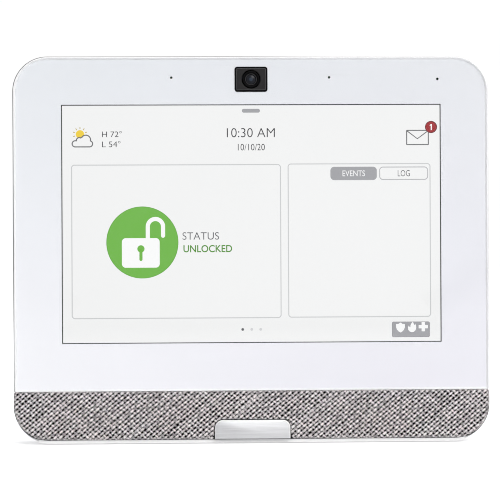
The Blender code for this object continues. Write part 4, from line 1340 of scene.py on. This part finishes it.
def moulding(name, solid, node, mat, bevel, body="panel"):
    mesh = solid.data
    with editing(mesh) as edit:
        bmesh.ops.remove_doubles(edit, verts=edit.verts, dist=1e-4)
        bmesh.ops.dissolve_limit(edit, angle_limit=math.radians(0.3), verts=edit.verts,
                                 edges=edit.edges)
    bpy.data.objects.remove(solid)
    piece = Piece(name)
    piece.add(mesh, mat)
    round_edges(piece.done(node, body, smooth=32), bevel, harden=True)


LIP = 1.0               # how far the case runs down past the front outline
RIM, WALL = 0.6, 2.2    # thickness of the rim round the pane, and of the walls
LIP_X = 84.5
CORNER_STEPS = 28
HOOKS = [(x, z) for x in (-46, 46) for z in (52.0, -34.0)]


def case_outline(inset=0.0):
    return rrect(WIDTH - 2 * inset, HEIGHT + LIP - 2 * inset, CORNER - inset, 0, -LIP / 2,
                 CORNER_STEPS)


def build_front_frame():
    # (y, inset) of the outside
    outside = [(-21.2, 0.38), (-21.18, 0.33), (-21.08, 0.26), (-20.6, 0.06), (-20.1, -0.10),
               (-12.15, -0.10)]
    frame = loft_solid([(y, case_outline(inset)) for y, inset in outside])
    # recess for the pane
    cut(frame, prism(rrect(WIDTH - 2 * RIM, HEIGHT + 30, CORNER - RIM, 0, -15 - RIM,
                           CORNER_STEPS), -22.5, -20.1))
    # recess for the cloth band
    band = prism(rrect(WIDTH - 2 * 0.16, HEIGHT - 2 * 0.16, CORNER - 0.16, 0, 0, CORNER_STEPS),
                 -23, -16.4)
    join(band, box(LIP_X, 100, -23, -16.4, -90, BAND_TOP),
         box(-100, -LIP_X, -23, -16.4, -90, BAND_TOP),
         box(-100, 100, -23, -21.25, -90, BAND_TOP))
    cut(band, box(-120, 120, -24, -10, BAND_TOP, 120))
    cut(frame, band)
    # hollows behind the pane and behind the band
    upper = prism(rrect(WIDTH - 2 * WALL, HEIGHT + 40, CORNER - WALL, 0, -20 - WALL,
                        CORNER_STEPS), -18.9, -11)
    cut(upper, box(-100, 100, -20, -10, -140, BAND_TOP + 2))
    cut(frame, upper)
    lower = prism(case_outline(WALL), -15.2, -11)
    cut(lower, box(-100, 100, -20, -10, BAND_TOP, 90))
    cut(frame, lower)
    # display, camera, pinholes and speaker slots
    tools = [box(-82.8, 82.8, -21, -18, 9.8 - 51.3, 9.8 + 51.3),
             prism(rrect(13.4, 10.2, 1.2, 0, CAMERA_Z, 6), -21, -18)]
    tools += [cylinder(x, z, 0.8, -21, -18, 20) for x, z in PINHOLES]
    tools += [prism(rrect(39.0, 12.4, 6.0, side * 50.0, -66.3, 12), -17, -14) for side in (-1, 1)]
    cut_all(frame, tools)
    for x, z in HOUSING_SCREWS:
        join(frame, cylinder(x, z, 3.3, -19.4 if z > BAND_TOP else -16.0, -8.9, 28))
    cut_all(frame, [cylinder(x, z, 1.5, -16.2, -8, 20) for x, z in HOUSING_SCREWS])
    # posts with domed heads between the screws: (y, radius) of the dome
    dome = [(-15.5, 2.1), (-15.3, 2.05), (-15.05, 1.7), (-14.8, 1.0)]
    for x, z in [(side * SIDE_X, z) for z in (40.0, -24.0) for side in (-1, 1)]:
        join(frame, cylinder(x, z, 2.5, -19.4, -16.7, 24), cylinder(x, z, 1.1, -17.0, -15.2, 20),
             loft_solid([(y, circle(x, z, radius, 28)) for y, radius in dome]))
    moulding("front_frame_shell", frame, "front_frame", moulded("shell_white", rim_painted_light_shade), 0.03)


def build_rear_housing():
    sections = [(-11.85, case_outline()), (-6.0, case_outline())]
    for i in range(1, 11):
        angle = math.pi / 2 * i / 10
        sections.append((-6.0 + 5.4 * math.sin(angle), case_outline(3.0 * (1 - math.cos(angle)))))
    rear = loft_solid(sections)
    cut(rear, prism(case_outline(WALL), -12.6, -6.2))
    cut(rear, prism(case_outline(4.4), -4.4, 1.0))
    cut(rear, prism(rrect(10.0, 18, 0.8, 31, -79, 4), -4.4, 1.0))
    # battery tray
    tray = prism(rrect(72.4, 61.2, 1.0, -40, 2, 4), -14.9, -5.6)
    cut(tray, prism(rect(-75.0, -5.0, -27.4, 31.4), -16, -5.0))
    cut(tray, box(-17.0, -11.0, -16, -9.2, 30, 34))
    join(rear, tray)
    # screw pots, their counterbores and holes
    for x, z in HOUSING_SCREWS:
        join(rear, cylinder(x, z, 4.8, -8.6, -5.6, 40))
    cut_all(rear, [cylinder(x, z, 3.1, -7.4, -3, 36) for x, z in HOUSING_SCREWS])
    cut_all(rear, [cylinder(x, z, 1.5, -9.5, -6, 20) for x, z in HOUSING_SCREWS])
    # door opening with notches above and below
    x0, x1, z0, z1 = -73.0, -7.0, -24.0, 28.0
    opening = prism(rrect(x1 - x0, z1 - z0, 2.0, (x0 + x1) / 2, (z0 + z1) / 2, 8), -7, -3)
    for tab in (-60.0, -22.0):
        x = tab + 7.2
        join(opening, box(x - 3.4, x + 3.4, -7.01, -2.99, z0 - 2.2, z0 + 3),
             box(x - 3.4, x + 3.4, -7.01, -2.99, z1 - 3, z1 + 2.2))
    cut(rear, opening)
    # wiring window, plunger hole, hook slots and a row of vents
    tools = [prism(rrect(40, 38, 3.0, 32, -9, 8), -7, -3),
             cylinder(PLUNGER_X, PLUNGER_Z, 2.4, -7, -3, 32)]
    tools += [box(x - 4.0, x + 4.0, -7, -3, z - 10.2, z + 0.3) for x, z in HOOKS]
    tools += [prism(rrect(2.4, 9.0, 1.2, (i - 5) * 7.0, 66.5, 8), -7, -3) for i in range(11)]
    cut_all(rear, tools)
    # slots through the right wall
    slot = prism(rrect(3.8, 12.6, 1.8, 0, 0, 10), -96, -91)
    slot.data.transform(Matrix.Translation((0, -9.4, 30.0))
                        @ Matrix.Rotation(math.radians(90), 4, "Z"))
    cut(rear, slot)
    cut(rear, box(91, 96, -11.1, -9.5, -22.0 - 6.1, -22.0 + 6.1))
    moulding("rear_housing_shell", rear, "rear_housing", moulded("rear_white"), 0.14)


BRACKET_SLOTS = [  # x, z, width, height
    (-66, 50, 4.6, 9), (66, 48, 4.6, 9), (-66, -46, 9, 4.6), (66, -46, 9, 4.6),
    (0, 41.65, 10, 4.6), (0, -41.65, 10, 4.6),
]
BRACKET_POCKETS = [  # x, z, width, height of the shallow pockets in the wall side
    (-36, 35, 42, 18), (32, 35, 44, 18), (-36, -41, 42, 12), (32, -41, 44, 12),
    (-66.5, 18, 9, 44), (-66.5, -20, 9, 24), (66.5, 14, 9, 48), (66.5, -24, 9, 20),
    (0, 25, 14, 18), (0, -26, 14, 14),
]


def build_bracket():
    plate = prism(rrect(150, 116, 6, 0, 2, 20), -2.2, 0.0)
    tools = [prism(rrect(48, 50, 4, 32, -5, 12), -4, 2), prism(rrect(46, 50, 4, -36, -5, 12), -4, 2)]
    tools += [prism(rrect(w, h, 2.3, x, z, 12), -4, 2) for x, z, w, h in BRACKET_SLOTS]
    cut_all(plate, tools)
    cut_all(plate, [prism(rrect(w, h, 2.5, x, z, 10), -0.9, 1) for x, z, w, h in BRACKET_POCKETS])
    for x, z in HOOKS:
        join(plate, box(x - 3.5, x + 3.5, -6.9, -1.6, z - 4, z),
             box(x - 3.5, x + 3.5, -8.0, -6.5, z - 4, z + 5))
    # flared mouths of the slots on the wall side
    cut_all(plate, [loft_solid([(-0.75, rrect(w + 2.2, h + 2.2, 3.3, x, z, 12)),
                                (0.25, rrect(w + 4.2, h + 4.2, 4.3, x, z, 12))])
                    for x, z, w, h in BRACKET_SLOTS])
    moulding("wall_bracket_plate", plate, "wall_bracket", moulded("bracket_white"), 0.2,
             body="bracket")


# ================================================================ carried-over CAD nodes
def give(node, mat, bevel=0.0, angle=38, segments=2):
    """Sets a CAD node's material and rounds its sharp edges; its shape stays."""
    obj = CAD[node]
    obj.data.materials.clear()
    obj.data.materials.append(mat)
    if bevel > 0:
        obj.modifiers.new("weld", "WELD").merge_threshold = 2e-6
        round_edges(obj, bevel, angle, segments)


def build_door():
    """Raised triangle and ribs on the battery door."""
    white = moulded("door_white")
    relief = Piece("door_relief")
    relief.plate([[(-30.5, 2.0), (-38.5, 7.6), (-38.5, -3.6)]], -2.62, -2.36, white, 0.06, 1)
    for i in range(5):
        relief.plate([rrect(1.0, 22.0, 0.3, -48.7 + i * 2.2, 2.0, 5)], -2.62, -2.36, white, 0.06, 1)
    relief.done("battery_door", body="door", replaces=False)
    give("battery_door", white, bevel=0.18)


def mask_material():
    """Display module: black in front, tinned steel behind."""
    mat = Mat("lcd_black_mask")
    front = mat.maths("LESS_THAN", mat.place()["Y"], -18.9)
    tin = mat.noise(scale=1.0, detail=5.0, rough=0.6, vector=mat.stretched(0.1, 3.0, 3.0))
    steel = mat.mix(tin, (0.50, 0.51, 0.52), (0.64, 0.65, 0.66))
    return mat.principled(Base_Color=mat.mix(front, steel, (0.045, 0.046, 0.05)),
                          Roughness=mat.span(tin, (0.2, 0.8), to=(0.3, 0.45)),
                          Metallic=mat.maths("SUBTRACT", 1.0, front),
                          Normal=mat.bump(tin, strength=0.2, depth=0.006))


def flex_material():
    """Polyimide ribbon with its copper runs."""
    mat = Mat("flex_polyimide")
    runs = mat.node("TexWave", {"Vector": mat.coords, "Scale": 2.2}, wave_type="BANDS",
                    bands_direction="X", wave_profile="SIN").outputs["Fac"]
    tint = mat.grade(runs, (0.55, 0.62), (0.42, 0.17, 0.02), (0.62, 0.33, 0.08))
    return mat.principled(Base_Color=tint, Roughness=0.3, Coat_Weight=0.4,
                          Normal=mat.bump(runs, strength=0.3, depth=0.01))


def foil_material():
    mat = Mat("battery_foil")
    crinkle = mat.noise(scale=0.22, detail=5.0, rough=0.6, distort=0.8)
    tint = mat.grade(crinkle, (0.3, 0.7), (0.48, 0.50, 0.53), (0.60, 0.62, 0.65))
    return mat.principled(Base_Color=tint, Metallic=0.6,
                          Roughness=mat.span(crinkle, (0.3, 0.7), to=(0.28, 0.44)),
                          Normal=mat.bump(crinkle, strength=0.35, depth=0.25))


def paper_material(name):
    mat = Mat(name)
    pulp = mat.noise(scale=2.2, detail=6.0, rough=0.7)
    tint = mat.mix(pulp, (0.035, 0.035, 0.036), (0.09, 0.088, 0.085))
    return mat.principled(Base_Color=tint, Roughness=0.85,
                          Normal=mat.bump(pulp, strength=0.6, depth=0.06))


PLATED = [  # node, material, colour, roughness, bevel
    ("lcd_chassis", "chassis_zinc", (0.60, 0.61, 0.62), 0.3, 0.1),
    ("shield_can", "can_tinned", (0.66, 0.66, 0.65), 0.25, 0.2),
    ("radio_module", "radio_can", (0.63, 0.63, 0.64), 0.28, 0.2),
    ("cell_module", "cell_can", (0.57, 0.57, 0.58), 0.3, 0.2),
    ("card_socket", "socket_shell", (0.68, 0.68, 0.69), 0.26, 0.12),
]
BOARDS = [  # node, material, mask colour, pitch of the runs, seed, bevel
    ("main_board", "board_main", (0.006, 0.055, 0.027), 0.9, 1.0, 0.06),
    ("sensor_board", "board_sensor", (0.006, 0.055, 0.027), 0.7, 5.0, 0.06),
    ("camera_board", "board_camera", (0.01, 0.03, 0.10), 0.6, 9.0, 0.06),
    ("wifi_antenna", "antenna_board", (0.012, 0.012, 0.014), 1.6, 13.0, 0.05),
]
MOULDED = [  # node, material, bevel
    ("grille_carrier", "carrier_black", 0.1), ("memory_card", "card_black", 0.15),
    ("power_switch", "switch_grey", 0.12), ("tamper_switch", "tamper_grey", 0.12),
    ("power_terminal", "terminal_green", 0.15), ("battery_header", "header_cream", 0.12),
]


def finish_parts():
    give("power_button", moulded("button_grey"), bevel=0.22, angle=30, segments=3)
    give("lcd_module", mask_material(), bevel=0.15)
    give("display_gasket", foam("gasket_foam"), bevel=0.1)
    give("display_flex", flex_material(), bevel=0.05)
    for node, *look, bevel in PLATED:
        give(node, zinc(*look), bevel)
    for node, *look, bevel in BOARDS:
        give(node, circuit(*look), bevel)
    for node, name, bevel in MOULDED:
        give(node, moulded(name), bevel)
    give("battery_pack", foil_material(), bevel=0.7, segments=4)
    give("battery_pad", foam("pad_foam", (0.05, 0.05, 0.052), size=1.2), bevel=0.2)
    give("battery_lead", rubber("lead_red", (0.30, 0.015, 0.012), rough=0.45))
    for node in ("antenna_lead", "speaker_lead_left", "speaker_lead_right"):
        give(node, rubber(f"{node}_jacket", (0.018, 0.018, 0.02), rough=0.4))
    for side in ("left", "right"):
        give(f"speaker_gasket_{side}", foam(f"speaker_foam_{side}"), bevel=0.08)
        give(f"speaker_basket_{side}", moulded(f"basket_black_{side}"), bevel=0.15)
        nickel = brushed(f"magnet_nickel_{side}", (0.60, 0.59, 0.57), rough=0.25)
        give(f"speaker_magnet_{side}", nickel, bevel=0.25)
        give(f"speaker_cone_{side}", paper_material(f"cone_paper_{side}"), bevel=0.2, angle=25,
             segments=3)
    for node in ("mic_boot_left", "mic_boot_right", "mic_boot_side"):
        give(node, rubber(f"{node}_rubber"), bevel=0.15)


# ================================================================ tamper plunger and spring
def build_tamper():
    pin = Piece("tamper_plunger_pin")
    profile = [(0, -8.5), (1.6, -8.5), (1.8, -8.3), (1.8, -7.2), (3.15, -7.2), (3.28, -7.07),
               (3.28, -6.63), (3.15, -6.5), (1.8, -6.5), (1.8, -3.15), (1.65, -2.85),
               (1.2, -2.5), (0, -2.5)]
    pin.turn(profile, moulded("plunger_black"), (PLUNGER_X, PLUNGER_Z), 40)
    pin.done("tamper_plunger", body="plunger")

    turns, steps, radius, length = 4.4, 220, 2.75, 2.82
    path = []
    for i in range(steps + 1):
        done = turns * i / steps
        climb = min(max(done - 0.7, 0.0), 3.0)     # the end turns lie flat
        angle = 2 * math.pi * done
        path.append(Vector((PLUNGER_X + radius * math.cos(angle), -7.44 - length * climb / 3.0,
                            PLUNGER_Z + radius * math.sin(angle))))
    spring = Piece("tamper_spring_wire")
    wire = brushed("spring_wire", (0.62, 0.62, 0.61), rough=0.24, scale=(3.0, 3.0, 3.0))
    spring.tube(path, 0.2, wire, sides=10)
    obj = spring.done("tamper_spring", smooth=60)
    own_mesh(obj)


# ================================================================ parts on the main board
BOARD_Y = -11.49        # rear face of the board; parts stand up from it towards the wall
LEAD_STEPS = ((0.0, 0.9, 0.0, 0.16), (-0.1, 0.25, 0.16, 0.62))  # out from, out to, up from, up to
SMALL_CHIPS = [  # x, z, width, height, leads a side, whether the rows run along x
    (17.2, -13.0, 3.9, 4.9, 4, False), (31.0, -14.5, 4.4, 5.2, 4, False),
    (24.2, -23.0, 3.9, 4.9, 4, True), (43.5, 2.6, 3.9, 8.6, 7, False),
]
TANTALUMS = [(16.2, 5.4, False), (39.0, -4.6, True), (51.0, -5.2, False), (19.0, -19.2, True),
             (50.4, -24.5, False)]      # x, z, whether upright
PASSIVE_ROWS = [  # first x, z, step in x, z, count
    (13.0, 11.8, 2.6, 0, 15), (25.4, -9.4, 2.3, 0, 6), (39.4, -10.0, 0, -2.1, 5),
    (51.8, -9.6, 0, -2.2, 6), (27.6, -19.6, 2.4, 0, 4), (13.2, -27.4, 2.5, 0, 9),
    (48.8, 8.6, 0, -2.2, 5), (12.9, -8.6, 0, -2.3, 7), (30.2, -27.0, 2.4, 0, 3),
]


class Board(Piece):
    """Unmarked parts soldered to the main board."""

    def __init__(self, name):
        super().__init__(name)
        self.epoxy = moulded("chip_epoxy")
        self.solder = zinc("solder_tin", (0.66, 0.66, 0.65), rough=0.28)
        self.ferrite = moulded("ferrite_grey")

    def lump(self, x, z, along, across, thick, mat, chamfer, base=0.0, upright=False,
             shift=(0.0, 0.0)):
        """Block with a chamfered top. upright swaps x and z for its size and its shift."""
        if upright:
            along, across = across, along
            shift = shift[::-1]
        x += shift[0]
        z += shift[1]
        low = BOARD_Y + base
        foot = rect(x - along / 2, x + along / 2, z - across / 2, z + across / 2)
        top = rect(x - along / 2 + chamfer, x + along / 2 - chamfer,
                   z - across / 2 + chamfer, z + across / 2 - chamfer)
        self.loft([(low, foot), (low + thick - chamfer, foot), (low + thick, top)], mat)

    def leads(self, x, z, reach, count, pitch, upright, width):
        """Two rows of bent leads either side of a chip."""
        for side in (-1, 1):
            for i in range(count):
                place = (i - (count - 1) / 2) * pitch
                for start, stop, low, high in LEAD_STEPS:
                    self.lump(x, z, stop - start, width, high - low, self.solder, 0.03, low,
                              upright, (side * (reach + (start + stop) / 2), place))

    def flat_pack(self, x, z, side, count):
        self.lump(x, z, side, side, 1.35, self.epoxy, 0.18, base=0.05)
        for upright in (False, True):
            self.leads(x, z, side / 2, count, side * 0.86 / (count - 1), upright, 0.26)
        low, high = BOARD_Y + 1.36, BOARD_Y + 1.41
        self.turn([(0, low), (0.42, low), (0.42, high), (0, high)], self.ferrite,
                  (x - side * 0.36, z + side * 0.36), 20)

    def inductor(self, x, z, side):
        self.lump(x, z, side, side, 2.0, self.ferrite, 0.4)
        profile = [(0, 1.99), (side * 0.33, 1.99), (side * 0.33, 2.06), (side * 0.27, 2.10),
                   (0, 2.10)]
        self.turn([(radius, BOARD_Y + up) for radius, up in profile], self.epoxy, (x, z), 32)
        for end in (-1, 1):
            self.lump(x + end * (side / 2 + 0.15), z, 0.7, side * 0.6, 0.5, self.solder, 0.05)

    def connector(self, x, z, count, mat):
        self.lump(x, z - 0.3, count * 1.25 + 1.8, 3.8, 1.9, mat, 0.12)
        for i in range(count):
            pin = x + (i - (count - 1) / 2) * 1.25
            self.lump(pin, z + 2.05, 0.4, 1.1, 0.2, self.solder, 0.03)
            self.lump(pin, z - 0.4, 0.64, 2.6, 0.05, self.epoxy, 0.01, base=1.88)


def build_board():
    board = Board("board_components")
    tantalum, ceramic = moulded("tantalum_yellow"), moulded("ceramic_tan")
    board.flat_pack(45.0, -15.5, 9.6, 12)
    board.flat_pack(63.0, 2.0, 11.0, 14)
    for x, z, width, height, count, upright in SMALL_CHIPS:
        board.lump(x, z, width, height, 1.3, board.epoxy, 0.15, base=0.05)
        board.leads(x, z, (height if upright else width) / 2, count, 1.27, upright, 0.42)
    board.inductor(15.6, -3.6, 6.0)
    board.inductor(38.4, -24.6, 5.0)
    for x, z, upright in TANTALUMS:
        board.lump(x, z, 3.5, 2.8, 1.8, tantalum, 0.15, base=0.05, upright=upright)
        for end in (-1, 1):
            board.lump(x, z, 0.6, 1.8, 0.9, board.solder, 0.04, upright=upright,
                       shift=(end * 1.85, 0.0))
    # small two-ended parts, some places left empty
    rng = random.Random(5)
    for first_x, first_z, step_x, step_z, count in PASSIVE_ROWS:
        for i in range(count):
            x, z = first_x + step_x * i, first_z + step_z * i
            kind = rng.random()
            if kind < 0.12:
                continue
            thick, mat = (0.8, ceramic) if kind > 0.45 else (0.45, board.epoxy)
            upright = kind > 0.3
            board.lump(x, z, 0.88, 0.82, thick, mat, 0.05, upright=upright)
            for end in (-1, 1):
                board.lump(x, z, 0.36, 0.86, thick + 0.03, board.solder, 0.05, upright=upright,
                           shift=(end * 0.62, 0.0))
    cream = moulded("connector_cream")
    board.connector(20.6, 16.2, 6, cream)
    board.connector(58.0, -20.0, 8, cream)
    board.done("main_board", replaces=False, smooth=28)


# ================================================================ screws
THREAD_PITCH = 0.55
SLOT_HALF = 0.28


def cross(x, z, reach, half):
    """Outline of a cross recess with slightly tapered wings."""
    points = []
    for quarter in range(4):
        cosine, sine = math.cos(math.pi / 2 * quarter), math.sin(math.pi / 2 * quarter)
        for out, side in ((reach, -half * 0.72), (reach + 0.06, 0.0), (reach, half * 0.72),
                          (half, half)):
            points.append((x + out * cosine - side * sine, z + out * sine + side * cosine))
    return points


def screw(name, node, place, face, under, tip, head, shank, crossed, mat):
    """A screw whose head faces +Y. face, under, tip: y of the head's two sides and the shank's
    end; head and shank are radii. Its recess is a cross or a slot."""
    x, z = place
    piece = Piece(name)
    floor = face - min(0.9, (face - under) * 0.6)
    if crossed:
        recess = cross(x, z, head * 0.56, head * 0.16)
        piece.plate([circle(x, z, head, 64), recess], floor, face, mat, 0.07, 1)
    else:
        start = math.asin(SLOT_HALF / head)
        angles = [start + (math.pi - 2 * start) * i / 32 for i in range(33)]
        for side in (-1, 1):
            half = [(x + head * math.cos(a), z + side * head * math.sin(a)) for a in angles]
            piece.plate([half], floor, face, mat, 0.05, 1)
    disc = [(0, floor + 0.02), (head, floor + 0.02), (head, under + 0.05), (head - 0.05, under),
            (0, under)]
    piece.turn(disc, mat, place, 64)
    if tip is not None:
        profile = [(0, under + 0.1), (shank, under + 0.1)]
        y = under - 0.3
        root = False
        while y > tip + 0.5:
            profile.append((shank - (0.22 if root else 0.0), y))
            y -= THREAD_PITCH / 2
            root = not root
        profile += [(shank * 0.7, tip + 0.15), (0, tip)]
        piece.turn(profile, mat, place, 20)
    piece.done(node)


def build_screws():
    steel = zinc("screw_zinc", (0.64, 0.64, 0.63), rough=0.26)
    for i, place in enumerate(HOUSING_SCREWS, 1):
        screw(f"housing_screw_head_{i}", f"housing_screw_{i}", place, face=-5.62, under=-7.1,
              tip=-15.6, head=2.7, shank=1.13, crossed=True, mat=steel)
    for i, place in enumerate(BOARD_SCREWS, 1):
        screw(f"board_screw_head_{i}", f"board_screw_{i}", place, face=-10.32, under=-11.5,
              tip=-15.4, head=2.5, shank=1.08, crossed=False, mat=steel)
    for side, x in (("left", 25.5), ("right", 32.5)):
        screw(f"terminal_screw_head_{side}", f"terminal_screw_{side}", (x, 2.5), face=-7.22,
              under=-8.3, tip=None, head=1.8, shank=1.0, crossed=False, mat=steel)


# ================================================================ everything, in order
set_camera()
set_world()
lay_floor()
hang_lights()
build_glass()
build_screen()
weave("fabric_threads_a", STEP_A, STEP_B, 0,
      yarn_material("yarn_light", light=(1.0, 0.965, 0.975), dark=(0.60, 0.57, 0.578), seed=3.1))
weave("fabric_threads_b", STEP_B, STEP_A, 1,
      yarn_material("yarn_grey", light=(1.0, 0.955, 0.97), dark=(0.34, 0.32, 0.327), seed=9.7))
build_welt()
build_badge()
build_bezel()
build_barrel()
build_lens()
build_front_frame()
build_rear_housing()
build_bracket()
build_door()
finish_parts()
build_tamper()
build_board()
build_screws()
